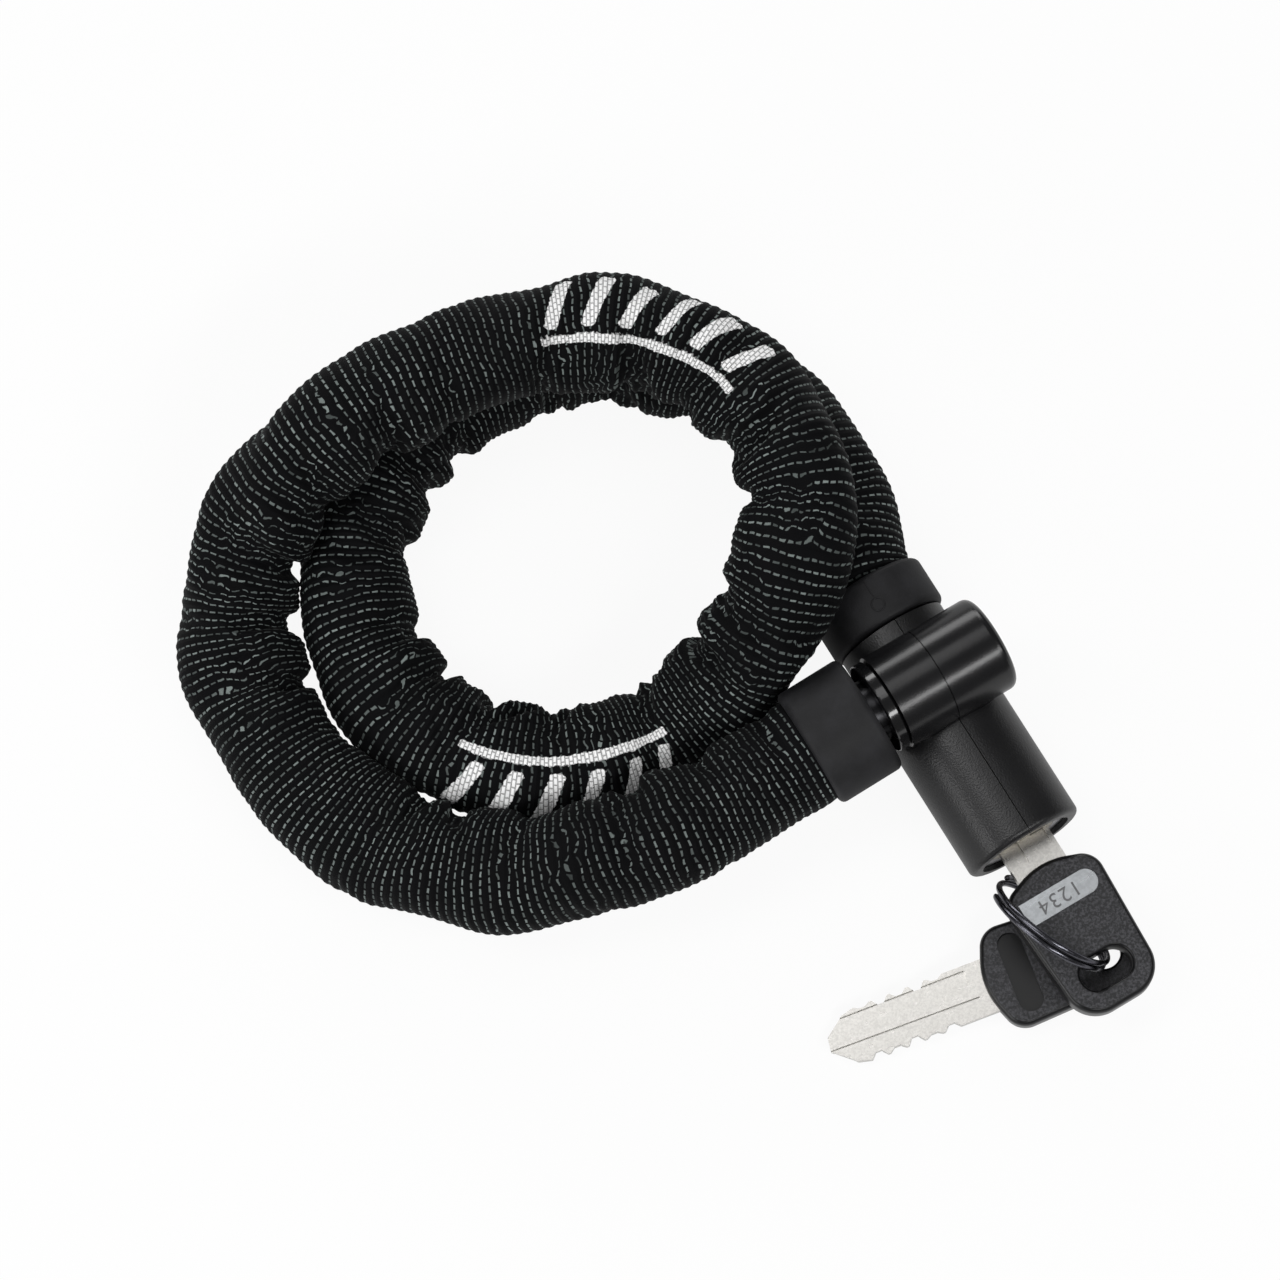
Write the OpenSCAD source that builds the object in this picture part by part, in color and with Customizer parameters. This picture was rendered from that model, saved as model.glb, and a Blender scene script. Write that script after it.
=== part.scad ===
// Chain lock: a cylinder lock with a cross barrel, and a sleeved steel chain coiled in two turns.
// The origin lies on the table, below the point where the bolt's axis passes over the plug's axis.
// +Y runs along the main cylinder from the key to the chain, +X along the bolt, away from its cuff.

/* [Main cylinder] */
// Outside diameter of the plastic cover
head_d = 22.6; // [20:0.2:28]
// Length of the cover in front of the bolt's axis
head_front = 33; // [30:1:42]
// Length of the cover behind the bolt's axis
head_back = 12.6; // [12:0.2:16]
// Wall thickness of the cover
cover_wall = 1.85; // [1.4:0.05:2.2]
// Gap between the two halves of the cover
parting_gap = 0.16; // [0.1:0.02:0.3]

/* [Cross barrel] */
// Outside diameter of the barrel
barrel_d = 18.2; // [17:0.2:22]
// Length of the barrel on the bolt's side
barrel_left = 9.6; // [9:0.1:13]
// Length of the barrel on the closed side
barrel_right = 12.7; // [12:0.1:16]
// Height of the bolt's axis above the plug's axis
axis_rise = 11.7; // [11:0.1:14]

/* [Bolt] */
// Diameter of the bolt's shank
bolt_d = 9.6; // [8:0.1:10]
// Reach of the bolt past the middle of the barrel
bolt_reach = 7.4; // [6:0.2:9]
// Diameter of the locking groove
groove_d = 6; // [5:0.1:7]
// Tilt of the cuff on the bolt's tail, downwards
cuff_tilt = 7; // [0:1:9]

/* [Plug and latch] */
// Diameter of the plug
plug_d = 12.8; // [12:0.1:14]
// Throw of the crank pin from the plug's axis
crank_throw = 1.34; // [1.2:0.02:1.5]
// Number of wafers
wafer_count = 5; // [3:1:5]
// Distance between wafers
wafer_pitch = 3.5; // [3:0.1:3.6]

/* [Keys] */
// Width of the blade
blade_w = 10; // [8:0.1:10]
// Thickness of the blade
blade_t = 2; // [1.8:0.1:2.2]
// Length of the blade past the head
blade_len = 30; // [28:0.5:31]
// Width of the key's head
key_head_w = 19.2; // [17:0.2:21]
// Thickness of the key's head
key_head_t = 4.6; // [4:0.1:5]
// Outside diameter of the split ring
ring_d = 24.4; // [22:0.2:28]
// Wire diameter of the split ring
ring_wire = 1.15; // [0.9:0.05:1.3]

/* [Chain and sleeve] */
// Outside diameter of the fabric sleeve
sleeve_d = 20; // [18:0.2:21]
// Wall thickness of the sleeve
sleeve_wall = 1; // [0.8:0.1:1.4]
// Diameter of the chain's wire
link_wire = 3.6; // [3:0.1:4]
// Number of link pitches between the two anchor pins' links
link_pitches = 32; // [28:1:34]
// Outside diameter of the rubber cuffs
cuff_d = 22.6; // [22:0.2:26]
// Length of the rubber cuff on the lock
cuff_a_len = 9.4; // [9:0.2:14]
// Length of the rubber cuff on the bolt
cuff_b_len = 13; // [12:0.2:16]

/* [Hidden] */
$fn = 64;
joint_gap = 0.3;      // clearance between pieces that move
seat_gap = 0.15;      // clearance between pieces that are assembled
running_gap = 0.05;   // radial clearance of the bolt and the pins

head_r = head_d / 2;
barrel_r = barrel_d / 2;
plug_z = head_r;
bolt_z = plug_z + axis_rise;
case_r = head_r - cover_wall - seat_gap;
case_barrel_r = barrel_r - cover_wall + 0.1 - seat_gap;
rim_round = 1.1;
lip_wall = 0.9;
face_t = 1.1;
face_y = -head_front + lip_wall + seat_gap;
case_front = face_y + face_t;
case_back = barrel_r;
neck_r = head_r - 0.9;
stub_r = 7;
stub_len = 10.5;
bolt_r = bolt_d / 2;
bolt_bore_r = bolt_r + running_gap;
bolt_mouth_r = bolt_r + 0.4;
barrel_wall_left = 1.4;

plug_r = plug_d / 2;
plug_bore_r = plug_r + 0.1;
plug_back = -6.5;
keyway_gap = 0.15;
wafer_t = 1;
wafer_w = 5;
wafer_first = -27.5;
spring_z = 3.4;
spring_r = 0.55;
keeper_y = -8.2;
keeper_r = 0.75;
keeper_groove_r = plug_r - 1.2;
keeper_x = keeper_groove_r + joint_gap + keeper_r;

crank_r = 1.2;
crank_angle = -45;
crank_x = crank_throw * cos(crank_angle);
crank_z = crank_throw * sin(crank_angle);
crank_tip = 2.2;
crank_gap = 0.12;
latch_w = 8;
latch_t = 5;
latch_top = bolt_z - bolt_bore_r - 2.75;
latch_foot = plug_z - 4.3;
latch_nose_r = 2.2;
latch_nose_top = bolt_z - bolt_bore_r - 0.45;
latch_travel = 2 * crank_throw * sin(45);
pocket_top = latch_top + latch_travel + 0.25;
cap_t = 1;
cap_foot = plug_z - sqrt(pow(case_r, 2) - pow(latch_w / 2, 2)) + 0.05;

tip_y = plug_back - 1.2;
key_y = tip_y - blade_len;
slot_inner = 1.3;
slot_outer = 4.1;
mill_depth = 0.6;
key_hole_y = -22;
key_hole_len = 10;
key_hole_w = 6.2;
plate_y = -6.8;
plate_len = 15;
plate_w = 4.6;
plate_t = 0.7;
head_long = 28.9;

spare_pos = [-18.8, -50.3];
spare_turn = 79.5;
spare_pitch = 4.4;
spare_tip_z = 1.15;
ring_pos = [-3.6, -47.7, 11.2];
ring_heading = -70;
ring_lean = 64;

cuff_round = 1.2;
cuff_a_y = head_back + joint_gap;
sleeve_start = 3.4;    // how far the sleeve's end lies behind the cuff's front
sleeve_end_r = 9.2;
anchor_r = 1.75;
anchor_gap = 0.05;
clamp_w = 3;
clamp_gap = 0.2;
mouth_ring_r = barrel_r - 0.4;
mouth_ring_w = 2.4;
shoulder_x = -barrel_left - joint_gap;
shoulder_r = 6;
cuff_b_x = -13;

/* The chain's route, in millimetres: along the first turn on the table, up over the lock's own
   strand, round the second turn on top of the first, down beside it and up to the bolt. */
route = [
    [0, 8, plug_z], [0, 16, plug_z], [0, 23, plug_z], [2, 30, 11], [4.5, 38, 10.3],
    [5.5, 49, 10.1], [3.5, 61, 10.1], [-2, 73, 10.1], [-12, 83, 10.1], [-24, 90, 10.1],
    [-37, 93, 10.1], [-49, 92.5, 10.1], [-61, 88.5, 10.1], [-71.5, 81, 10.1], [-79, 70.5, 10.1],
    [-82.5, 57.5, 10.1], [-82, 45, 10.1], [-76.5, 34, 10.1], [-68, 25.5, 10.1], [-58, 20.5, 10.1],
    [-48, 18.5, 10.3], [-37.5, 18.5, 13], [-27.5, 20.5, 18.5], [-18.5, 25, 25], [-10.5, 31.5, 29.8],
    [-4, 39.5, 31], [-1.5, 49.5, 31], [-2.5, 61, 31], [-7, 72, 31], [-16, 81.5, 31],
    [-28, 88, 31], [-42, 91.5, 31], [-56, 93, 31], [-69.5, 93, 29], [-82, 90.5, 24],
    [-93, 85, 16.5], [-101.5, 76, 11.5], [-106, 63, 10.1], [-106, 48, 10.1], [-102.5, 33, 10.5],
    [-94, 19.5, 12], [-83, 9.5, 15], [-70, 3.5, 18.5], [-56, 0.5, 20.5], [-41, -0.5, 20.4],
    [-26, 0, bolt_z - 1.6], [-19.5, 0, bolt_z - 0.8], [-13, 0, bolt_z]
];
route_smooth = 6;

// A smooth curve through the route's points: each span is a Catmull-Rom cubic.
function spline(p0, p1, p2, p3, t) = 0.5 * (2 * p1 + (p2 - p0) * t
    + (2 * p0 - 5 * p1 + 4 * p2 - p3) * t * t + (3 * p1 - p0 - 3 * p2 + p3) * t * t * t);
function clamped(list, i) = list[max(0, min(len(list) - 1, i))];
curve = [for (i = [0 : len(route) - 2], k = [0 : route_smooth - 1])
    spline(clamped(route, i - 1), route[i], route[i + 1], clamped(route, i + 2), k / route_smooth),
    route[len(route) - 1]];
steps = [for (i = [1 : len(curve) - 1]) norm(curve[i] - curve[i - 1])];
lengths = [for (i = 0, total = 0; i < len(curve); total = total + (i < len(steps) ? steps[i] : 0), i = i + 1)
    total];
route_len = lengths[len(lengths) - 1];
tables = [for (axis = [0 : 2]) [for (i = [0 : len(curve) - 1]) [lengths[i], curve[i][axis]]]];
function at(s) = [for (axis = [0 : 2]) lookup(s, tables[axis])];
function unit(v) = v / norm(v);
function heading(s) = unit(at(min(s + 2, route_len)) - at(max(s - 2, 0)));
function across(s) = unit(cross([0, 0, 1], heading(s)));
function upward(s) = cross(heading(s), across(s));

// Where things stand along the route: its start is at y = 8 on the plug's axis.
s_cuff_a = cuff_a_y - 8;
s_sleeve_a = s_cuff_a + sleeve_start;
s_tail = 46;
s_cuff_b = route_len - 0.4;
s_sleeve_b = s_cuff_b - sleeve_start;
pin_a_s = s_cuff_a + 3.4;
pin_b_s = route_len - 7.2;
link_guess = (pin_b_s - pin_a_s) / (link_pitches + 1);
link_slack = 1.2;    // free play of each link along the chain
link_inside = (link_guess + link_slack) / 2;
pin_reach = link_inside - anchor_r - 0.1;
link_first = pin_a_s + pin_reach;
link_last = pin_b_s - pin_reach;
link_pitch = (link_last - link_first) / link_pitches;
link_inner_w = link_wire + 2.4;
link_bend_r = (link_inner_w + link_wire) / 2;
link_straight = link_inside + link_wire / 2 - link_bend_r;
tail_links = 2;
links_per_node = 2;
link_groups = ceil((link_pitches + 1 - tail_links) / links_per_node);
function two_digits(n) = str(n < 10 ? "0" : "", n);

head_nodes = ["cover_left", "cover_right", "lock_case", "face_plate", "keeper_pin", "spring_cap",
    "barrel_mouth_ring", "cuff_lock_side", "anchor_pin_lock_side", "sleeve_clamp_lock_side"];
plug_nodes = concat(["plug", "wafer_springs"], [for (i = [1 : wafer_count]) str("wafer_", i)]);
latch_nodes = ["latch", "latch_spring"];
key_nodes = ["key_blade", "key_head", "key_code_plate", "split_ring", "spare_key_blade",
    "spare_key_head", "spare_key_code_plate"];
bolt_nodes = ["bolt", "cuff_bolt_side", "anchor_pin_bolt_side", "sleeve_clamp_bolt_side"];
link_nodes = [for (g = [1 : link_groups]) str("chain_links_", two_digits(g))];
chain_nodes = concat(["sleeve", "sleeve_tail", "chain_links_tail"], link_nodes);

// ---- shared shapes ----

// A cylinder along +Y on the plug's axis, from y0 to y1.
module on_plug(y0, y1, r) {
    translate([0, y1, plug_z]) rotate([90, 0, 0]) cylinder(h = y1 - y0, r = r);
}

// A cylinder along +X on the bolt's axis, from x0 to x1.
module on_bolt(x0, x1, r) {
    translate([x0, 0, bolt_z]) rotate([0, 90, 0]) cylinder(h = x1 - x0, r = r);
}

// A box from one corner to the other.
module block(low, high) {
    translate(low) cube(high - low);
}

// Points of a quarter round of radius r about [cx, cy], from angle a0 to a1.
function arc(cx, cy, r, a0, a1) = [for (k = [0 : 5]) let (a = a0 + (a1 - a0) * k / 5)
    [cx + r * cos(a), cy + r * sin(a)]];

// A round bar of length len and radius r, whose far end is rounded by edge.
module round_ended(r, len, edge) {
    rotate_extrude() polygon(concat([[0, 0], [r, 0]], arc(r - edge, len - edge, edge, 0, 90), [[0, len]]));
}

// A solid swept along rings of points: each ring has the same number of sides.
function ring_points(centre, side, top, r, sides) = [for (k = [0 : sides - 1])
    let (a = 360 * (k + 0.5) / sides) centre + r * (cos(a) * side + sin(a) * top)];
function wall_faces(first, rings, sides, flip) = [for (i = [0 : rings - 2], k = [0 : sides - 1])
    let (a = first + i * sides + k, b = first + i * sides + (k + 1) % sides,
         c = a + sides, d = b + sides)
    each (flip ? [[a, b, c], [b, d, c]] : [[a, c, b], [b, c, d]])];

// ---- the lock's covers and case ----

module cover_outside() {
    translate([0, head_back, plug_z]) rotate([90, 0, 0]) cylinder(h = head_back - barrel_r + 1, r = neck_r);
    translate([0, barrel_r, plug_z]) rotate([90, 0, 0])
        round_ended(head_r, head_front + barrel_r, rim_round);
    translate([-barrel_left, 0, bolt_z]) rotate([0, 90, 0])
        round_ended(barrel_r, barrel_left + barrel_right, 1.6);
}

module cover_inside() {
    on_plug(-head_front + lip_wall, case_back + seat_gap, case_r + seat_gap);
    on_plug(-head_front - 1, 0, case_r - 0.35);
    on_plug(0, head_back + 1, stub_r + 0.2);
    on_bolt(-barrel_left + barrel_wall_left, barrel_right - cover_wall, case_barrel_r + seat_gap);
    on_bolt(-barrel_left - 1, 0, bolt_mouth_r);
}

// One half of the cover: side is -1 for the bolt's side and 1 for the closed side.
module cover_half(side) {
    reach = 60;
    color([0.03, 0.03, 0.035]) intersection() {
        difference() {
            cover_outside();
            cover_inside();
        }
        translate([side * (reach / 2 + parting_gap / 2), 0, bolt_z / 2])
            cube([reach, 4 * reach, 2 * reach], center = true);
    }
}

module lock_case() {
    pocket_x = latch_w / 2 + seat_gap;
    pocket_y = latch_t / 2 + seat_gap;
    color([0.45, 0.46, 0.48]) difference() {
        union() {
            on_plug(case_front, case_back, case_r);
            on_plug(case_back - 1, cuff_a_y + stub_len - 3, stub_r);
            on_bolt(-barrel_left + barrel_wall_left + seat_gap, barrel_right - cover_wall - seat_gap,
                case_barrel_r);
        }
        on_plug(case_front - 1, plug_back + 0.2, plug_bore_r);
        on_plug(plug_back - 0.5, 0, crank_throw + crank_r + joint_gap);
        on_bolt(-barrel_left - 1, bolt_reach + 1, bolt_bore_r);
        block([-pocket_x, -pocket_y, -1], [pocket_x, pocket_y, pocket_top]);
        translate([0, 0, latch_top]) cylinder(h = bolt_z - latch_top, r = latch_nose_r + 0.08);
        translate([keeper_x, keeper_y, -1]) cylinder(h = plug_z + case_r, r = keeper_r + running_gap);
        block([-head_r, cuff_a_y - 3, plug_z - link_wire / 2 - 0.2],
            [head_r, cuff_a_y + stub_len, plug_z + link_wire / 2 + 0.2]);
        translate([0, at(pin_a_s)[1], -1]) cylinder(h = 3 * head_r, r = anchor_r + anchor_gap);
    }
}

module face_plate() {
    color([0.3, 0.31, 0.33]) difference() {
        on_plug(face_y, face_y + face_t - 0.05, case_r);
        on_plug(face_y - 1, face_y + face_t + 1, plug_bore_r);
    }
}

// The pin beside the plug's groove, which keeps the plug in.
module keeper_pin() {
    half = sqrt(pow(case_r, 2) - pow(keeper_x + keeper_r, 2)) - 0.2;
    color([0.6, 0.6, 0.62]) translate([keeper_x, keeper_y, plug_z - half])
        cylinder(h = half + 2.6, r = keeper_r);
}

// The plate that closes the latch's pocket and carries its spring.
module spring_cap() {
    color([0.5, 0.5, 0.52]) block([-latch_w / 2, -latch_t / 2, cap_foot],
        [latch_w / 2, latch_t / 2, cap_foot + cap_t]);
}

// ---- the plug, its wafers and the latch ----

module plug() {
    key_x = blade_w / 2 + keyway_gap;
    key_z = blade_t / 2 + keyway_gap;
    color([0.75, 0.68, 0.45]) difference() {
        union() {
            on_plug(face_y, plug_back, plug_r);
            translate([crank_x, 0, crank_z]) on_plug(plug_back - 0.5, crank_tip, crank_r);
        }
        block([-key_x, face_y - 1, plug_z - key_z], [key_x, tip_y + 0.4, plug_z + key_z]);
        for (i = [0 : wafer_count - 1]) translate([0, wafer_first + i * wafer_pitch, plug_z]) {
            cube([plug_d, wafer_t + 0.2, wafer_w + 0.2], center = true);
            block([-2.5, -0.75, 0], [3.2, 0.75, spring_z + spring_r + 0.25]);
        }
        translate([0, keeper_y, plug_z]) rotate([90, 0, 0]) difference() {
            cylinder(h = 2 * keeper_r + 0.3, r = plug_d, center = true);
            cylinder(h = 3 * keeper_r, r = keeper_groove_r, center = true);
        }
    }
}

// A wafer: a plate with a window for the key and a lug for its spring.
module wafer(i) {
    half = sqrt(pow(plug_r, 2) - pow(wafer_w / 2, 2)) - 0.08;
    window = blade_w / 2 + keyway_gap + 0.05;
    color([0.8, 0.7, 0.4]) translate([0, wafer_first + (i - 1) * wafer_pitch, plug_z]) difference() {
        union() {
            cube([2 * half, wafer_t, wafer_w], center = true);
            block([2, -wafer_t / 2, 0], [3, wafer_t / 2, spring_z + spring_r]);
        }
        cube([2 * window, 2 * wafer_t, blade_t + 0.3], center = true);
    }
}

// A coil spring along +Z as one swept wire: r is the coil's radius and w the wire's.
module coil_spring(height, r, w, turns, per_turn, sides) {
    rings = turns * per_turn + 1;
    centres = [for (i = [0 : rings - 1]) let (a = 360 * i / per_turn)
        [r * cos(a), r * sin(a), w + (height - 2 * w) * i / (rings - 1)]];
    points = [for (i = [0 : rings - 1]) let (a = 360 * i / per_turn)
        each ring_points(centres[i], [cos(a), sin(a), 0], [0, 0, 1], w, sides)];
    caps = [[for (k = [0 : sides - 1]) k],
        [for (k = [sides - 1 : -1 : 0]) (rings - 1) * sides + k]];
    polyhedron(points, concat(wall_faces(0, rings, sides, false), caps), convexity = 10);
}

module wafer_springs() {
    color([0.7, 0.7, 0.72]) for (i = [0 : wafer_count - 1])
        translate([-2.35, wafer_first + i * wafer_pitch, plug_z + spring_z]) rotate([0, 90, 0])
            coil_spring(4.25, spring_r - 0.12, 0.12, 4, 8, 5);
}

module latch() {
    slot_x = crank_throw + crank_r + 0.25;
    color([0.55, 0.56, 0.6]) difference() {
        union() {
            block([-latch_w / 2, -latch_t / 2, latch_foot], [latch_w / 2, latch_t / 2, latch_top]);
            translate([0, 0, latch_top - 1]) cylinder(h = latch_nose_top - latch_top + 1, r = latch_nose_r);
        }
        block([-0.5, -latch_t, plug_z + crank_z - crank_r - crank_gap],
            [slot_x, latch_t, plug_z + crank_z + crank_r + crank_gap]);
    }
}

module latch_spring() {
    color([0.7, 0.7, 0.72]) translate([0, 0, cap_foot + cap_t + 0.02])
        coil_spring(latch_foot - cap_foot - cap_t - 0.04, 1.6, 0.25, 4, 12, 6);
}

// ---- the keys and their ring ----
// A key's own frame: the blade leaves the head at y = 0 and points along +Y, with z = 0 mid-thickness.

function cut(y, depth) = [[y - 1.5, 0], [y - 0.6, depth], [y + 0.6, depth], [y + 1.5, 0]];
function blade_side(depths) = [for (i = [0 : len(depths) - 1]) each cut(8 + i * wafer_pitch, depths[i])];

module key_blade_solid() {
    right = blade_side([0.9, 0.5, 1.1, 0.7, 1.0]);
    left = blade_side([0.6, 1.1, 0.8, 1.0, 0.5]);
    half = blade_w / 2;
    edge_r = [for (p = right) [half - p[1], p[0]]];
    edge_l = [for (i = [len(left) - 1 : -1 : 0]) [-half + left[i][1], left[i][0]]];
    tip = [[half - 0.6, blade_len - 4], [1, blade_len], [-1.6, blade_len - 0.3],
        [-half + 0.6, blade_len - 4]];
    difference() {
        translate([0, 0, -blade_t / 2]) linear_extrude(blade_t)
            polygon(concat([[half, -4], [half, 0]], edge_r, tip, edge_l, [[-half, 0], [-half, -4]]));
        for (side = [1, -1]) rotate([0, 90 - 90 * side, 0]) {
            block([slot_inner, 2.6, blade_t / 2 - mill_depth], [slot_outer, blade_len + 1, blade_t]);
            translate([0, 0, blade_t / 2 - mill_depth]) linear_extrude(blade_t)
                polygon([[-1.3, 1.6], [-0.9, blade_len + 1], [-2.3, blade_len + 1], [-1.8, 1.6]]);
        }
    }
}

// The head's outline: a domed near edge, near-parallel sides and generous far corners.
module head_outline(shrink) {
    half = key_head_w / 2 - shrink;
    hull() {
        translate([0, -13.5]) intersection() {
            circle(r = 13.5 - shrink, $fn = 72);
            translate([-half + 3, 0]) square([2 * half - 6, 20]);
        }
        for (side = [-1, 1]) {
            translate([side * (half - 4.2), -5.6]) circle(r = 4.2, $fn = 32);
            translate([side * (half - 7), shrink - head_long + 6.2]) circle(r = 6.2, $fn = 32);
        }
    }
}

module rounded_slot(len, w, h) {
    translate([-(len - w) / 2, 0, 0]) cylinder(h = h, d = w);
    translate([(len - w) / 2, 0, 0]) cylinder(h = h, d = w);
    block([-(len - w) / 2, -w / 2, 0], [(len - w) / 2, w / 2, h]);
}

// The code plate's place: round at one end and square at the other.
module plate_shape(grow, h) {
    w = plate_w + 2 * grow;
    translate([(plate_len - plate_w) / 2, 0, 0]) cylinder(h = h, d = w);
    block([-plate_len / 2 - grow, -w / 2, 0], [(plate_len - plate_w) / 2, w / 2, h]);
}

module key_head_solid() {
    border = 0.55;
    difference() {
        union() {
            translate([0, 0, -key_head_t / 2 + border]) linear_extrude(key_head_t - 2 * border)
                head_outline(0);
            translate([0, 0, -key_head_t / 2]) linear_extrude(key_head_t) head_outline(border);
        }
        translate([0, key_hole_y, -key_head_t]) rounded_slot(key_hole_len, key_hole_w, 2 * key_head_t);
        translate([0, plate_y, key_head_t / 2 - plate_t]) plate_shape(0.05, key_head_t);
        translate([0, plate_y, -key_head_t / 2 - 1]) rounded_slot(plate_len, plate_w, 1 + plate_t);
        block([-blade_w / 2 - 0.02, -4.1, -blade_t / 2 - 0.02], [blade_w / 2 + 0.02, 1, blade_t / 2 + 0.02]);
    }
}

module key_plate_solid() {
    translate([0, plate_y, key_head_t / 2 - plate_t + 0.02]) plate_shape(0, plate_t - 0.12);
}

module at_lock_key() {
    translate([0, key_y, plug_z]) children();
}

// The spare key lies upside down with its tip on the table and its head raised on the ring.
module at_spare_key() {
    translate([spare_pos[0], spare_pos[1], spare_tip_z + blade_len * sin(spare_pitch)])
        rotate([0, 0, spare_turn]) rotate([-spare_pitch, 0, 0]) rotate([0, 180, 0]) children();
}

// The split ring: two turns of wire side by side, in a plane that leans over the head's edge.
module split_ring() {
    per_turn = 30;
    rings = 2 * per_turn - 1;
    sides = 8;
    r = ring_d / 2 - ring_wire / 2;
    pitch = ring_wire + 0.08;
    side = [cos(ring_heading), sin(ring_heading), 0];
    down = [-sin(ring_heading) * cos(ring_lean), cos(ring_heading) * cos(ring_lean), -sin(ring_lean)];
    axis = cross(side, down);
    points = [for (i = [0 : rings - 1])
        let (a = 200 + 360 * i / per_turn, out = cos(a) * side + sin(a) * down)
        each ring_points(ring_pos + r * out + pitch * (i / per_turn - 1) * axis, out, axis,
            ring_wire / 2, sides)];
    caps = [[for (k = [sides - 1 : -1 : 0]) k], [for (k = [0 : sides - 1]) (rings - 1) * sides + k]];
    color([0.2, 0.2, 0.22]) polyhedron(points, concat(wall_faces(0, rings, sides, true), caps),
        convexity = 10);
}

// ---- the bolt and the cuffs ----

// The bolt's tail frame: its z axis runs from the middle of the cuff's front along the tilted tail.
module on_tail() {
    translate([cuff_b_x, 0, bolt_z]) rotate([0, -90 - cuff_tilt, 0]) children();
}

module bolt() {
    chamfer = 1;
    groove_half = 2.6;
    color([0.72, 0.72, 0.74]) difference() {
        union() {
            translate([shoulder_x - 0.1, 0, bolt_z]) rotate([0, 90, 0]) rotate_extrude()
                polygon([[0, 0], [bolt_r, 0], [bolt_r, -shoulder_x - groove_half],
                    [groove_d / 2, -shoulder_x - groove_half], [groove_d / 2, -shoulder_x + groove_half],
                    [bolt_r, -shoulder_x + groove_half], [bolt_r, bolt_reach - shoulder_x - chamfer],
                    [bolt_r - chamfer, bolt_reach - shoulder_x], [0, bolt_reach - shoulder_x]]);
            on_bolt(cuff_b_x - 0.8, shoulder_x, shoulder_r);
            on_tail() translate([0, 0, 0.6]) cylinder(h = stub_len - 1, r = stub_r - 0.2);
        }
        on_tail() block([-head_r, -head_r, 1.2] + [head_r - link_wire / 2 - 0.2, 0, 0],
            [link_wire / 2 + 0.2, head_r, stub_len]);
        on_tail() translate([-head_r, 0, 7.2]) rotate([0, 90, 0])
            cylinder(h = head_d, r = anchor_r + anchor_gap);
    }
}

// The ring round the barrel's mouth, notched where the main cylinder passes below it.
module barrel_mouth_ring() {
    w = mouth_ring_w;
    color([0.02, 0.02, 0.02]) difference() {
        translate([-barrel_left - seat_gap, 0, bolt_z]) rotate([0, -90, 0]) rotate_extrude()
            polygon(concat([[shoulder_r + joint_gap, 0], [mouth_ring_r - 0.4, 0], [mouth_ring_r, 0.4]],
                arc(mouth_ring_r - 0.5, w - 0.5, 0.5, 0, 90), [[shoulder_r + joint_gap, w]]));
        on_plug(-head_front, head_front, head_r + seat_gap);
    }
}

// A rubber cuff along +Z: mouth_r and mouth_len open its front, and the sleeve enters its back.
module cuff(len, mouth_r, mouth_len) {
    r = cuff_d / 2;
    sleeve_r = sleeve_d / 2 + 0.2;
    rotate_extrude() polygon(concat([[mouth_r, 0]], arc(r - cuff_round, cuff_round, cuff_round, -90, 0),
        arc(r - cuff_round, len - cuff_round, cuff_round, 0, 90),
        [[sleeve_r, len], [sleeve_r, sleeve_start - 0.2], [stub_r + 0.3, sleeve_start - 0.2],
        [stub_r + 0.3, mouth_len], [mouth_r, mouth_len]]));
}

module cuff_lock_side() {
    color([0.04, 0.04, 0.045]) translate([0, cuff_a_y, plug_z]) rotate([-90, 0, 0])
        cuff(cuff_a_len, stub_r + 1, 0.8);
}

module cuff_bolt_side() {
    color([0.04, 0.04, 0.045]) on_tail() cuff(cuff_b_len, mouth_ring_r + 0.5, 2);
}

module anchor_pin_lock_side() {
    color([0.6, 0.6, 0.62]) translate([0, at(pin_a_s)[1], plug_z])
        cylinder(h = 2 * stub_r - 0.6, r = anchor_r, center = true);
}

module anchor_pin_bolt_side() {
    color([0.6, 0.6, 0.62]) on_tail() translate([0, 0, 7.2]) rotate([0, 90, 0])
        cylinder(h = 2 * stub_r - 1, r = anchor_r, center = true);
}

// A crimped steel band that holds the sleeve's end inside its cuff.
module clamp_band() {
    rotate_extrude() translate([sleeve_end_r + clamp_gap, 0])
        square([sleeve_d / 2 - sleeve_end_r - clamp_gap, clamp_w]);
}

module sleeve_clamp_lock_side() {
    color([0.5, 0.5, 0.52]) translate([0, cuff_a_y + sleeve_start + 0.4, plug_z]) rotate([-90, 0, 0])
        clamp_band();
}

module sleeve_clamp_bolt_side() {
    color([0.5, 0.5, 0.52]) on_tail() translate([0, 0, sleeve_start + 0.4]) clamp_band();
}

// ---- the chain and its sleeve ----

// The sleeve is drawn in to sleeve_end_r at both ends, under the clamps.
function drawn_in(d) = let (t = max(0, min(1, (d - 4) / 7))) t * t * (3 - 2 * t);
function sleeve_r(s) = sleeve_end_r + (sleeve_d / 2 - sleeve_end_r)
    * drawn_in(min(s - s_sleeve_a, s_sleeve_b - s));

// A hollow tube along the route, from s0 to s1.
module sleeve_part(s0, s1, rings) {
    sides = 12;
    stations = [for (i = [0 : rings - 1]) s0 + (s1 - s0) * i / (rings - 1)];
    outer = [for (s = stations) each ring_points(at(s), across(s), upward(s), sleeve_r(s), sides)];
    inner = [for (s = stations) each ring_points(at(s), across(s), upward(s),
        sleeve_r(s) - sleeve_wall, sides)];
    shift = rings * sides;
    rims = [for (k = [0 : sides - 1]) let (n = (k + 1) % sides, last = (rings - 1) * sides)
        each [[k, n, k + shift], [n, n + shift, k + shift],
            [last + k, last + k + shift, last + n], [last + n, last + k + shift, last + n + shift]]];
    polyhedron(concat(outer, inner), concat(wall_faces(0, rings, sides, false),
        wall_faces(shift, rings, sides, true), rims), convexity = 20);
}

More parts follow.
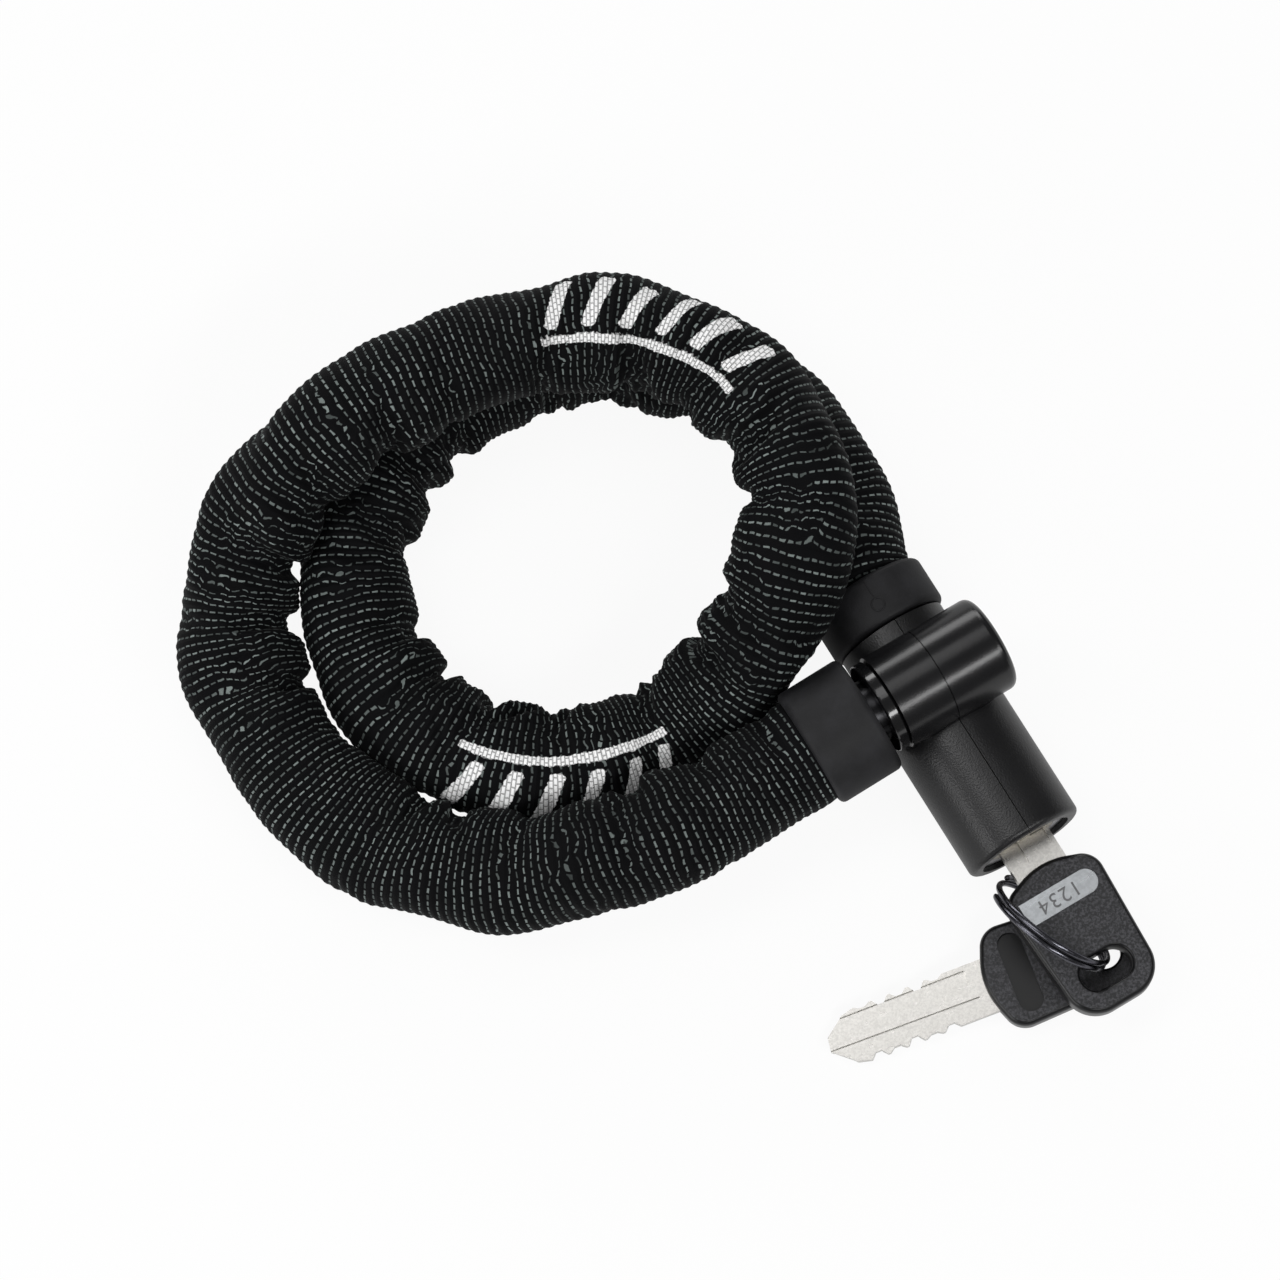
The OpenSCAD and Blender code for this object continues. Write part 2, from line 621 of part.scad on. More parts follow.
module sleeve() {
    color([0.05, 0.05, 0.05]) sleeve_part(s_tail, s_sleeve_b, 70);
}

module sleeve_tail() {
    color([0.05, 0.05, 0.05]) sleeve_part(s_sleeve_a, s_tail, 8);
}

// A welded link in its own frame: long along x, and flat in the xy plane.
module link_solid() {
    for (side = [-1, 1]) {
        translate([-link_straight, side * link_bend_r, 0]) rotate([0, 90, 0])
            cylinder(h = 2 * link_straight, d = link_wire);
        translate([side * link_straight, 0, 0]) rotate([0, 0, -90 * side])
            rotate_extrude(angle = 180) translate([link_bend_r, 0]) circle(d = link_wire);
    }
}

// Link number i, laid on the route: even links lie flat and odd ones stand on edge.
module chain_link(i) {
    s = link_first + i * link_pitch;
    a = at(s - link_pitch / 2);
    b = at(s + link_pitch / 2);
    ahead = unit(b - a);
    side = unit(cross([0, 0, 1], ahead));
    top = cross(ahead, side);
    mid = (a + b) / 2;
    multmatrix([for (k = [0 : 2]) [ahead[k], side[k], top[k], mid[k]]])
        rotate([i % 2 == 0 ? 0 : 90, 0, 0]) link_solid();
}

module chain_links(from, to) {
    color([0.5, 0.5, 0.52]) for (i = [from : min(to, link_pitches)]) chain_link(i);
}

// ---- what is drawn ----

cover_half(-1);  // cover_left
cover_half(1);  // cover_right
lock_case();
face_plate();
keeper_pin();
spring_cap();
barrel_mouth_ring();
cuff_lock_side();
anchor_pin_lock_side();
sleeve_clamp_lock_side();
plug();
for (i = [1 : wafer_count]) wafer(i);
wafer_springs();
latch();
latch_spring();
color([0.8, 0.79, 0.76]) at_lock_key() key_blade_solid();  // key_blade
color([0.1, 0.1, 0.11]) at_lock_key() key_head_solid();  // key_head
color([0.7, 0.72, 0.74]) at_lock_key() key_plate_solid();  // key_code_plate
split_ring();
color([0.8, 0.79, 0.76]) at_spare_key() key_blade_solid();  // spare_key_blade
color([0.1, 0.1, 0.11]) at_spare_key() key_head_solid();  // spare_key_head
color([0.7, 0.72, 0.74]) at_spare_key() key_plate_solid();  // spare_key_code_plate
bolt();
cuff_bolt_side();
anchor_pin_bolt_side();
sleeve_clamp_bolt_side();
sleeve();
sleeve_tail();
chain_links(0, tail_links - 1);  // chain_links_tail
for (g = [1 : link_groups]) chain_links(tail_links + (g - 1) * links_per_node, tail_links + g * links_per_node - 1);
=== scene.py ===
"""A sleeved chain lock, coiled in two turns, with its keys on a split ring. The lock's own parts come
from the frame and get their finishes here; the cloth sleeve, the key heads and the ring are modelled here."""

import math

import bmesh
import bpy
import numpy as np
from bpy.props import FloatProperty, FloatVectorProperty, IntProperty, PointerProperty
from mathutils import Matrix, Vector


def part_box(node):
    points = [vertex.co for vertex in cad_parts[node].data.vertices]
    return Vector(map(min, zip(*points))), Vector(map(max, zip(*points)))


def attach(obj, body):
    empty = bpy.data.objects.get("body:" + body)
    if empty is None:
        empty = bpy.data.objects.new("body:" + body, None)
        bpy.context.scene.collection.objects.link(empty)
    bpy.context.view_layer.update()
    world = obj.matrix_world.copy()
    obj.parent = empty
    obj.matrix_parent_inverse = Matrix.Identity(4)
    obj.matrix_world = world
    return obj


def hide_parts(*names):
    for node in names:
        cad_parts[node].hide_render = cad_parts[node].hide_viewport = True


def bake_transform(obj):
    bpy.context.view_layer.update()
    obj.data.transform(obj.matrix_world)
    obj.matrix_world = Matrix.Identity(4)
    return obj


bl_info = {
    "name": "Chain Lock",
    "version": (1, 0, 0),
    "blender": (4, 5, 0),
    "location": "View3D > Sidebar > Chain Lock",
    "description": "Builds a cloth-sleeved chain lock with its keys, and a plain studio round it",
    "category": "Object",
}

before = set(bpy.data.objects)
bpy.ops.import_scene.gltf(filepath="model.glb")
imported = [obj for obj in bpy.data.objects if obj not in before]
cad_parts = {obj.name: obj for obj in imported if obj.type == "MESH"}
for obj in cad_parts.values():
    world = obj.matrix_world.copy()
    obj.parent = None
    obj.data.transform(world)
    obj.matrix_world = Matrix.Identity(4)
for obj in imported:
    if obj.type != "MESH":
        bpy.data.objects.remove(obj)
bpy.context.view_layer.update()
MM = 0.001

# ---- places, worked out from the frame ----

PLUG_Z = sum(corner[2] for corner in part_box("plug")) / 2
BARREL_R = 9.1 * MM
BOLT_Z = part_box("cover_right")[1][2] - BARREL_R
CUFF_LOCK_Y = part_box("cuff_lock_side")[0][1]
CUFF_LOCK_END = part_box("cuff_lock_side")[1][1]
CUFF_LOCK_R = (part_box("cuff_lock_side")[1][0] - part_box("cuff_lock_side")[0][0]) / 2
KEY_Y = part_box("key_head")[1][1]

# The sleeve's route, in millimetres, from the lock round both turns to the bolt.
PLUG_MM = PLUG_Z / MM
BOLT_MM = BOLT_Z / MM
ROUTE = [
    (0, 8, PLUG_MM), (0, 16, PLUG_MM), (0, 23, PLUG_MM), (2, 30, 11), (4.5, 38, 10.3),
    (5.5, 49, 10.1), (3.5, 61, 10.1), (-2, 73, 10.1), (-12, 83, 10.1), (-24, 90, 10.1),
    (-37, 93, 10.1), (-49, 92.5, 10.1), (-61, 88.5, 10.1), (-71.5, 81, 10.1), (-79, 70.5, 10.1),
    (-82.5, 57.5, 10.1), (-82, 45, 10.1), (-76.5, 34, 10.1), (-68, 25.5, 10.1), (-58, 20.5, 10.1),
    (-48, 18.5, 10.3), (-37.5, 18.5, 13), (-27.5, 20.5, 18.5), (-18.5, 25, 25), (-10.5, 31.5, 29.8),
    (-4, 39.5, 31), (-1.5, 49.5, 31), (-2.5, 61, 31), (-7, 72, 31), (-16, 81.5, 31),
    (-28, 88, 31), (-42, 91.5, 31), (-56, 93, 31), (-69.5, 93, 29), (-82, 90.5, 24),
    (-93, 85, 16.5), (-101.5, 76, 11.5), (-106, 63, 10.1), (-106, 48, 10.1), (-102.5, 33, 10.5),
    (-94, 19.5, 12), (-83, 9.5, 15), (-70, 3.5, 18.5), (-56, 0.5, 20.5), (-41, -0.5, 20.4),
    (-26, 0, BOLT_MM - 1.6), (-19.5, 0, BOLT_MM - 0.8), (-13, 0, BOLT_MM),
]
TAIL_CUT = 46 * MM          # length run at which the coil meets the stretch that bends next to the lock
SLEEVE_INSET = 3.4 * MM     # from a cuff's face to the sleeve's end inside it
BOLT_END_GAP = 0.4 * MM     # from the route's end to the face of the cuff on the bolt
BOLT_CUFF_LENGTH = 13 * MM
CHAIN_ANCHOR = 3.4 * MM     # from the sleeve's end to the middle of the first link

# ---- the cloth's grid and its limits ----

CLOTH_STEP = 0.31 * MM      # between stations along the sleeve
CLOTH_ANGLES = 56           # points round it
LEAST_RADIUS = 8.5 * MM     # in a deep notch, well outside the chain
MOST_RADIUS = 10.95 * MM    # the furthest that folds and pleats reach
LIE_HEIGHT = 9.2 * MM       # the least height over the table that the cloth's underside allows for
FULL_BEND = 24.0            # radians to the metre at which the folds have their full depth
BAR_ROWS = ((0.309, 0.350, 1.72), (0.197, 0.236, 2.30))   # start, end and the angle of the middle

# ---- the keys, before they are placed: the blade leaves the head at the origin ----

BLADE_LENGTH = 30 * MM
BLADE_HALF = 1.15 * MM
KEY_HOLE = (10 * MM, 6.2 * MM, (0, -22 * MM))             # length, width and middle
POCKET_MIDDLE = (0, -6.8 * MM)
POCKET_DEPTH = 0.7 * MM
SPARE_SPOT = (-18.8 * MM, -50.3 * MM)
SPARE_TURN = math.radians(79.5)
SPARE_PITCH = math.radians(4.4)


class SleeveSettings(bpy.types.PropertyGroup):
    """Sizes and colours of the cloth sleeve."""
    diameter: FloatProperty(name="Diameter", description="Outside diameter", default=0.02, unit="LENGTH")
    end_diameter: FloatProperty(name="End diameter", description="Diameter under the cuffs",
                                default=0.0184, unit="LENGTH")
    row_pitch: FloatProperty(name="Row pitch", description="Distance between rows of thread",
                             default=0.00155, unit="LENGTH")
    stitches: IntProperty(name="Stitches", description="Stitches in one row round the sleeve", default=40)
    link_pitch: FloatProperty(name="Link pitch", description="Distance between chain links inside",
                              default=0.01655, unit="LENGTH")
    fold_count: IntProperty(name="Folds", description="Number of small folds", default=190)
    fold_depth: FloatProperty(name="Fold depth", description="Depth of the deepest small fold",
                              default=0.0021, unit="LENGTH")
    cloth: FloatVectorProperty(name="Cloth", description="Colour of the cloth", subtype="COLOR", size=3,
                               default=(0.0030, 0.0031, 0.0036))
    thread: FloatVectorProperty(name="Thread", description="Colour of the reflecting thread",
                                subtype="COLOR", size=3, default=(0.215, 0.25, 0.24))
    mark: FloatVectorProperty(name="Mark", description="Colour of the woven bars", subtype="COLOR",
                              size=3, default=(0.92, 0.92, 0.92))


class LockSettings(bpy.types.PropertyGroup):
    """Colours of the lock's plastic, rubber and metal."""
    cover: FloatVectorProperty(name="Cover", description="Colour of the plastic cover", subtype="COLOR",
                               size=3, default=(0.0055, 0.0055, 0.0060))
    rubber: FloatVectorProperty(name="Rubber", description="Colour of the cuffs", subtype="COLOR",
                                size=3, default=(0.0075, 0.0075, 0.0085))
    steel: FloatVectorProperty(name="Steel", description="Colour of plain steel", subtype="COLOR",
                               size=3, default=(0.6, 0.6, 0.61))


class KeySettings(bpy.types.PropertyGroup):
    """Sizes and colours of the keys and their ring."""
    head_width: FloatProperty(name="Head width", description="Width of a key's head", default=0.0192,
                              unit="LENGTH")
    head_length: FloatProperty(name="Head length", description="Length of a key's head", default=0.0289,
                               unit="LENGTH")
    head_thickness: FloatProperty(name="Head thickness", description="Thickness of a key's head",
                                  default=0.0046, unit="LENGTH")
    ring_diameter: FloatProperty(name="Ring diameter", description="Outside diameter of the ring",
                                 default=0.0244, unit="LENGTH")
    ring_wire: FloatProperty(name="Ring wire", description="Diameter of the ring's wire",
                             default=0.00115, unit="LENGTH")
    plastic: FloatVectorProperty(name="Plastic", description="Colour of the heads", subtype="COLOR",
                                 size=3, default=(0.020, 0.020, 0.022))
    nickel: FloatVectorProperty(name="Nickel", description="Colour of the blades", subtype="COLOR",
                                size=3, default=(0.66, 0.645, 0.615))


class StudioSettings(bpy.types.PropertyGroup):
    """The camera and the lights."""
    azimuth: FloatProperty(name="Azimuth", description="Camera's turn about the object",
                           default=math.radians(-31), subtype="ANGLE")
    elevation: FloatProperty(name="Elevation", description="Camera's height angle",
                             default=math.radians(75), subtype="ANGLE")
    distance: FloatProperty(name="Distance", description="Camera's distance", default=0.9, unit="LENGTH")
    target: FloatVectorProperty(name="Target", description="Point that the camera looks at",
                                default=(-0.03819, 0.03789, 0.0), subtype="XYZ", size=3)
    view_width: FloatProperty(name="View width", description="Width of the view at the target",
                              default=0.2355, unit="LENGTH")


# ---- shader maths ----

class Wire:
    """One output of a node. Arithmetic on it adds Math nodes and gives the new output."""

    def __init__(self, finish, socket):
        self.finish = finish
        self.socket = socket

    def _math(self, operation, *values):
        settings = {"operation": operation}
        return self.finish.node("ShaderNodeMath", settings, dict(enumerate(values)))

    def __add__(self, other):
        return self._math("ADD", self, other)

    def __sub__(self, other):
        return self._math("SUBTRACT", self, other)

    def __mul__(self, other):
        return self._math("MULTIPLY", self, other)

    def __rsub__(self, other):
        return self._math("SUBTRACT", other, self)

    __radd__ = __add__

    def floor(self):
        return self._math("FLOOR", self)

    def fract(self):
        return self._math("FRACT", self)

    def abs(self):
        return self._math("ABSOLUTE", self)

    def root(self):
        return self._math("SQRT", self)

    def ramp(self, low, high):
        """0 at low and 1 at high, with a smooth step between them."""
        settings = {"interpolation_type": "SMOOTHSTEP", "clamp": True}
        inputs = {"Value": self, "From Min": low, "From Max": high}
        return self.finish.node("ShaderNodeMapRange", settings, inputs)


class Finish:
    """A procedural material under construction: node() adds any node, surface() ends it."""

    def __init__(self, name):
        self.material = bpy.data.materials.new(name)
        self.material.use_nodes = True
        self.tree = self.material.node_tree
        self.tree.nodes.clear()

    def node(self, kind, settings=None, inputs=None, output=0):
        """Adds a node with its settings, gives its sockets, by name or number, a link or a value, and
        returns one of its outputs."""
        node = self.tree.nodes.new(kind)
        for key, value in (settings or {}).items():
            setattr(node, key, value)
        for key, value in (inputs or {}).items():
            socket = node.inputs[key]
            if isinstance(value, Wire):
                self.tree.links.new(value.socket, socket)
            elif socket.type == "RGBA":
                socket.default_value = (*value[:3], 1)
            else:
                socket.default_value = value
        return None if output is None else Wire(self, node.outputs[output])

    def place(self):
        """The object's own coordinates, in metres."""
        return self.node("ShaderNodeTexCoord", output="Object")

    def axes(self, vector):
        """The three numbers of a vector."""
        split = self.node("ShaderNodeSeparateXYZ", None, {0: vector}).socket.node
        return [Wire(self, split.outputs[axis]) for axis in ("X", "Y", "Z")]

    def noise(self, vector, scale, detail=2.0, roughness=0.5):
        """Smooth noise from about 0.3 to 0.7, with scale features to the metre."""
        inputs = {"Vector": vector, "Scale": scale, "Detail": detail, "Roughness": roughness}
        return self.node("ShaderNodeTexNoise", None, inputs)

    def attribute(self, name):
        """A number stored on the mesh."""
        return self.node("ShaderNodeAttribute", {"attribute_name": name}, output="Fac")

    def mix(self, factor, first, second):
        """The first colour where factor is 0 and the second where it is 1."""
        return self.node("ShaderNodeMix", {"data_type": "RGBA"}, {0: factor, 6: first, 7: second}, 2)

    def bump(self, height, distance, strength=1.0):
        """A normal that follows a height from 0 to 1, of the given distance in metres."""
        inputs = {"Height": height, "Distance": distance, "Strength": strength}
        return self.node("ShaderNodeBump", None, inputs)

    def surface(self, sockets, kind="ShaderNodeBsdfPrincipled"):
        """Ends the material with a shader that has these sockets."""
        shader = self.node(kind, None, sockets)
        self.node("ShaderNodeOutputMaterial", None, {"Surface": shader}, None)
        return self.material


# ---- finishes ----

def shade(colour, factor):
    """The colour made lighter or darker."""
    return tuple(factor * channel for channel in colour)


def woven_cloth(sleeve):
    """Black ribbed cloth: rows of short pale stitches between the ribs, which wander where the cloth
    puckers, and white woven bars where the attribute 'bars' is above zero. In the weave map, along counts
    rows and around counts stitches, so that their whole parts name one stitch and seed its brightness."""
    f = Finish("woven_cloth")
    weave = f.node("ShaderNodeUVMap", {"uv_map": "weave"})
    along, around, _ = f.axes(weave)
    place = f.place()
    pucker = f.attribute("pucker")
    wander = f.noise(place, 110.0, 2.0) - 0.5
    jumble = f.noise(place, 420.0, 1.0) - 0.5
    row = along + wander * (pucker * 2.4 + 0.8) + jumble * (pucker * 1.3 + 0.25)
    index = row.floor()
    across = (row.fract() - 0.5).abs()
    shift = index * 0.5 + f.noise(f.node("ShaderNodeCombineXYZ", None, {0: index}), 0.7) * 2.0
    column = around + shift + jumble * (pucker * 1.2 + 0.4)
    seed = f.node("ShaderNodeCombineXYZ", None, {0: index, 1: column.floor()})
    luck = f.node("ShaderNodeTexWhiteNoise", None, {"Vector": seed})
    gap = (column.fract() - 0.5).abs()
    worn = f.noise(place, 60.0, 2.0).ramp(0.34, 0.56)
    thread = (1 - across.ramp(0.07, 0.13)) * (1 - gap.ramp(0.30, 0.38))
    stitch = thread * (luck * 0.75 + 0.25) * (worn * 0.5 + 0.5)
    frayed = (f.noise(place, 1500.0, 1.0) - 0.5) * (0.6 * MM)
    woven = (f.attribute("bars") + frayed).ramp(-0.08 * MM, 0.08 * MM)
    lane = along * 2.2
    brick = ((around * 1.2 + lane.floor() * 0.5).fract() - 0.5).abs()
    pick = (1 - (lane.fract() - 0.5).abs().ramp(0.3, 0.48)) * (1 - brick.ramp(0.38, 0.48))
    white = f.mix(pick, shade(sleeve.mark, 0.5), sleeve.mark)
    dark = f.mix(stitch, sleeve.cloth, sleeve.thread)
    colour = f.mix(woven, dark, white)
    rib = across * 2.0
    fibre = f.noise(place, 4200.0, 1.0)
    height = rib * (1 - woven) + thread * 0.5 + pick * woven * 1.8 + fibre * 0.35
    return f.surface({"Base Color": colour, "Roughness": 0.78 - stitch * 0.3 - woven * 0.1,
                      "Normal": f.bump(height, 0.00016, 0.9), "Sheen Weight": 0.02, "Sheen Roughness": 0.4,
                      "Specular IOR Level": 0.06})


def moulded_cover(lock):
    """Black moulded plastic: satin with a faint leather grain on the main cylinder, and glossier on
    the cross barrel, inside a radius about the bolt's axis."""
    f = Finish("moulded_cover")
    place = f.place()
    _, y, z = f.axes(place)
    rise = z - BOLT_Z
    barrel = 1 - (y * y + rise * rise).root().ramp(BARREL_R + 0.15 * MM, BARREL_R + 0.3 * MM)
    grain = f.node("ShaderNodeTexVoronoi", {"feature": "SMOOTH_F1"},
                   {"Vector": place, "Scale": 3200.0, "Smoothness": 0.6})
    cloudy = f.noise(place, 130.0, 3.0)
    height = grain * (1 - barrel * 0.85) + cloudy * 0.4
    return f.surface({"Base Color": f.mix(cloudy, lock.cover, shade(lock.cover, 1.5)),
                      "Roughness": 0.33 + cloudy * 0.1 - barrel * 0.15,
                      "Normal": f.bump(height, 0.00005, 0.8), "Specular IOR Level": 0.4})


def soft_rubber(lock):
    """Matte black rubber with fine pits and cloudy wear."""
    f = Finish("soft_rubber")
    place = f.place()
    pits = f.noise(place, 3000.0, 2.0)
    cloudy = f.noise(place, 160.0, 4.0, 0.6)
    tone = f.mix(cloudy.ramp(0.35, 0.7), lock.rubber, shade(lock.rubber, 2.1))
    return f.surface({"Base Color": tone, "Roughness": 0.5 + cloudy * 0.25,
                      "Normal": f.bump(pits + cloudy, 0.00004, 0.7), "Specular IOR Level": 0.28})


def gloss_ring(lock):
    """Glossy black plastic with faint moulding ripples."""
    f = Finish("gloss_ring")
    ripple = f.noise(f.place(), 240.0, 2.0)
    return f.surface({"Base Color": lock.cover, "Roughness": 0.12 + ripple * 0.08,
                      "Normal": f.bump(ripple, 0.00002, 0.5), "Coat Weight": 0.3})


def metal(name, colour, roughness, scratch=(1200.0, 120.0, 1200.0), depth=0.00001, spread=0.18,
          speckle=900.0):
    """Metal with fine scratches stretched along one axis, and a speckle of duller spots. Scratch and
    speckle are in features to the metre, and spread is how far the scratches vary the roughness."""
    f = Finish(name)
    place = f.place()
    stretched = f.node("ShaderNodeMapping", None, {"Vector": place, "Scale": scratch})
    lines = f.noise(stretched, 1.0, 3.0)
    spots = f.noise(place, speckle, 3.0, 0.7)
    tone = f.mix(spots.ramp(0.38, 0.6), shade(colour, 0.86), colour)
    return f.surface({"Base Color": tone, "Metallic": 1.0, "Roughness": (lines - 0.5) * spread + roughness,
                      "Normal": f.bump(lines, depth, 0.6)})


def plated_chain():
    """Zinc-plated steel links."""
    return metal("plated_chain", (0.48, 0.49, 0.52), 0.38)


def grained_plastic(keys):
    """Dark moulded plastic with a fine spark-eroded grain; its rounded rim is smoother."""
    f = Finish("grained_plastic")
    place = f.place()
    grain = f.noise(place, 1900.0, 3.0, 0.7)
    speck = grain.ramp(0.42, 0.66)
    flat = f.attribute("flat").ramp(0.3, 0.9)
    tone = f.mix((speck * 0.8 + 0.2) * flat, shade(keys.plastic, 0.25), shade(keys.plastic, 3.2))
    return f.surface({"Base Color": tone, "Roughness": 0.3 + flat * (speck * 0.25 + 0.15),
                      "Normal": f.bump(grain * (flat * 0.95 + 0.05), 0.00014, 1.0),
                      "Specular IOR Level": 0.35})


# ---- meshes from arrays ----

def grid_mesh(name, points, close_u=False, close_v=False, smooth=True):
    """A mesh through a grid of points, rows by columns. Rows, columns or both may close on themselves.
    A quad joins each point to its next column and next row, and faces along (columns) x (rows)."""
    rows, columns = points.shape[:2]
    index = np.arange(rows * columns).reshape(rows, columns)
    if close_u:
        index = np.vstack([index, index[:1]])
    if close_v:
        index = np.hstack([index, index[:, :1]])
    quads = np.stack([index[:-1, :-1], index[:-1, 1:], index[1:, 1:], index[1:, :-1]], -1).reshape(-1, 4)
    mesh = bpy.data.meshes.new(name)
    mesh.from_pydata(points.reshape(-1, 3), [], quads)
    mesh.polygons.foreach_set("use_smooth", np.full(len(quads), smooth))
    mesh.update()
    return mesh


def add_piece(name, mesh, material):
    """Puts a mesh in the scene as an object at the origin."""
    piece = bpy.data.objects.new(name, mesh)
    bpy.context.scene.collection.objects.link(piece)
    mesh.materials.clear()
    mesh.materials.append(material)
    return piece


def store_number(mesh, name, values):
    """Keeps one number for each point of the mesh."""
    attribute = mesh.attributes.new(name, "FLOAT", "POINT")
    attribute.data.foreach_set("value", np.asarray(values, dtype=np.float32).ravel())


def paint(material, *nodes):
    """Gives frame nodes this material in every slot."""
    for node in nodes:
        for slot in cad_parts[node].material_slots:
            slot.material = material


def smooth_step(values, low, high):
    """0 below low, 1 above high, and 3t^2 - 2t^3 between."""
    t = np.clip((values - low) / (high - low), 0, 1)
    return t * t * (3 - 2 * t)


def unit_rows(vectors):
    """Each row scaled to length one."""
    return vectors / np.linalg.norm(vectors, axis=-1, keepdims=True)


# ---- the sleeve ----

def route_curve(samples=24):
    """The route as a dense line: each span is the Catmull-Rom cubic through its two points. Returns
    the points in metres and the length run up to each."""
    points = np.array(ROUTE, dtype=float) * MM
    before = np.vstack([points[:1], points[:-2]])
    after = np.vstack([points[2:], points[-1:]])
    t = (np.arange(samples) / samples)[None, :, None]
    p0, p1, p2, p3 = before[:, None], points[:-1, None], points[1:, None], after[:, None]
    spans = 0.5 * (2 * p1 + (p2 - p0) * t + (2 * p0 - 5 * p1 + 4 * p2 - p3) * t ** 2
                   + (3 * p1 - p0 - 3 * p2 + p3) * t ** 3)
    line = np.vstack([spans.reshape(-1, 3), points[-1:]])
    run = np.concatenate([[0], np.cumsum(np.linalg.norm(np.diff(line, axis=0), axis=1))])
    return line, run


def along_route(line, run, stations):
    """Points on the route at the given lengths."""
    return np.stack([np.interp(stations, run, line[:, axis]) for axis in range(3)], -1)


def small_folds(s, theta, sleeve, bend, notches, rng):
    """Creases and the ridges beside them. Each is a slanted, slightly curved line on the cloth: across
    it the height is -exp(-x^2) with a lower ridge on both sides, and it fades towards its two ends.
    Two in three start from a notch between links, and run from the inner side over the top."""
    radius = sleeve.diameter / 2
    reach = 18 * MM
    height = np.zeros((len(s), len(theta)))
    for _ in range(sleeve.fold_count):
        from_notch = rng.random() < 0.66
        notch = notches[rng.integers(len(notches))]
        start = notch + rng.normal(0, 1.8 * MM) if from_notch else rng.uniform(s[0], s[-1])
        turn = rng.normal(0.55, 0.6) if from_notch else rng.uniform(-math.pi, math.pi)
        half = rng.uniform(4.0, 10.0) * MM
        width = rng.uniform(1.0, 2.3) * MM
        depth = sleeve.fold_depth * rng.uniform(0.3, 1.0) * (1.0 if from_notch else 0.45)
        slant = rng.normal(0, 0.5)
        curl = rng.normal(0, 35.0)
        first, last = np.searchsorted(s, (start - reach, start + reach))
        if last - first < 4:
            continue
        swing = (theta - turn + math.pi) % (2 * math.pi) - math.pi
        side = radius * swing[None, :]
        off = (s[first:last] - start)[:, None] + slant * side + curl * side ** 2
        fade = np.exp(-(side / half) ** 4) * np.interp(start, s, bend)
        ridge = 0.5 * np.exp(-((np.abs(off) - 2.0 * width) / (1.2 * width)) ** 2)
        height[first:last] += depth * fade * (ridge - np.exp(-(off / width) ** 2))
    return height


def cloth_height(s, theta, sleeve, bend, rng):
    """How far the cloth stands off a plain tube: a bulge over each link and a pinch between links on
    the inner side of the bend, a slow change between lying and standing links, soft waves, and the
    small folds."""
    bulge, lie, crown, wave_height = 3.4 * MM, 0.55 * MM, 0.9 * MM, 0.13 * MM
    link = (s - s[0] - CHAIN_ANCHOR) / sleeve.link_pitch
    link = link + sum(rng.uniform(0.08, 0.16) * np.sin(link * beats + rng.uniform(0, 6.3))
                      for beats in (0.9, 1.7, 2.6))
    notches = np.interp(np.arange(0.5, link[-1]), link, s)
    inner = (0.5 + 0.5 * np.cos(theta - 0.25)) ** 1.6
    lean = 0.22 * np.sin(theta) * rng.choice([-1.0, 1.0])
    beat = np.abs(np.cos(math.pi * (link[:, None] + lean[None, :]))) ** 0.75
    strength = 0.75 + 0.35 * np.sin(link * 0.77 + 1.3)
    height = bulge * (beat - 0.84) * inner[None, :] * (strength * bend)[:, None]
    height += lie * np.cos(2 * theta)[None, :] * np.cos(math.pi * link)[:, None]
    height += crown * (beat - 0.7) * ((0.5 + 0.5 * np.sin(theta)) ** 2)[None, :]
    for _ in range(12):
        wave = rng.uniform(120, 330)
        turns = rng.integers(1, 4)
        phase = rng.uniform(0, 6.3)
        height += wave_height * np.sin(s[:, None] * wave + turns * theta[None, :] + phase)
    return height + small_folds(s, theta, sleeve, bend, notches, rng)


def soften(height):
    """The heights averaged over about 2.5 mm along the sleeve and over three angles round it."""
    kernel = np.hanning(11)[1:-1] / np.hanning(11).sum()
    padded = np.pad(height, ((4, 4), (0, 0)), mode="edge")
    along = sum(weight * padded[k:k + len(height)] for k, weight in enumerate(kernel))
    return 0.5 * along + 0.25 * (np.roll(along, 1, axis=1) + np.roll(along, -1, axis=1))


def lean_together(s, theta, centre, left, up, diameter):
    """How far the cloth bulges towards a strand that lies just beside it: half the gap between the two,
    up to 1.6 mm, on the side that faces the other strand."""
    few = slice(None, None, 6)
    same_strand = 60 * MM
    apart = centre[:, None] - centre[few][None]
    distance = np.linalg.norm(apart, axis=-1)
    distance[np.abs(s[:, None] - s[few][None]) < same_strand] = 1.0
    nearest = distance.argmin(1)
    gap = distance.min(1) - diameter
    towards = -apart[np.arange(len(s)), nearest]
    facing = np.arctan2((towards * up).sum(1), (towards * left).sum(1))
    amount = np.clip((gap - 0.4 * MM) / 2, 0, 1.6 * MM) * (1 - smooth_step(gap, 4 * MM, 7 * MM))
    side = np.clip(np.cos(theta[None, :] - facing[:, None]), 0, 1) ** 2
    return soften(amount[:, None] * side)


def woven_bars(s, theta, radius):
    """Signed distance, in metres, into a row of six plain slanted bars with a thin line below them. Two
    such rows are woven into the sleeve. In a row, u runs along the sleeve and v round it."""
    bar_middle, bar_half, line_middle, line_half = 1.8 * MM, 5.2 * MM, -5.6 * MM, 0.8 * MM
    best = np.full((len(s), len(theta)), -1.0)
    for start, end, middle in BAR_ROWS:
        u = np.broadcast_to((s - (start + end) / 2)[:, None], best.shape)
        v = (theta - middle)[None, :] * radius
        half = (end - start) / 2
        pitch = 2 * half / 6
        slanted = (u + 0.35 * v + half) / pitch
        bar = 0.19 * pitch - np.abs(slanted - np.floor(slanted) - 0.5) * pitch
        bar = np.minimum(bar, np.minimum(bar_half - np.abs(v - bar_middle), half - np.abs(u)))
        line = np.minimum(line_half - np.abs(v - line_middle), half - np.abs(u))
        best = np.maximum(best, np.maximum(bar, line))
    return best


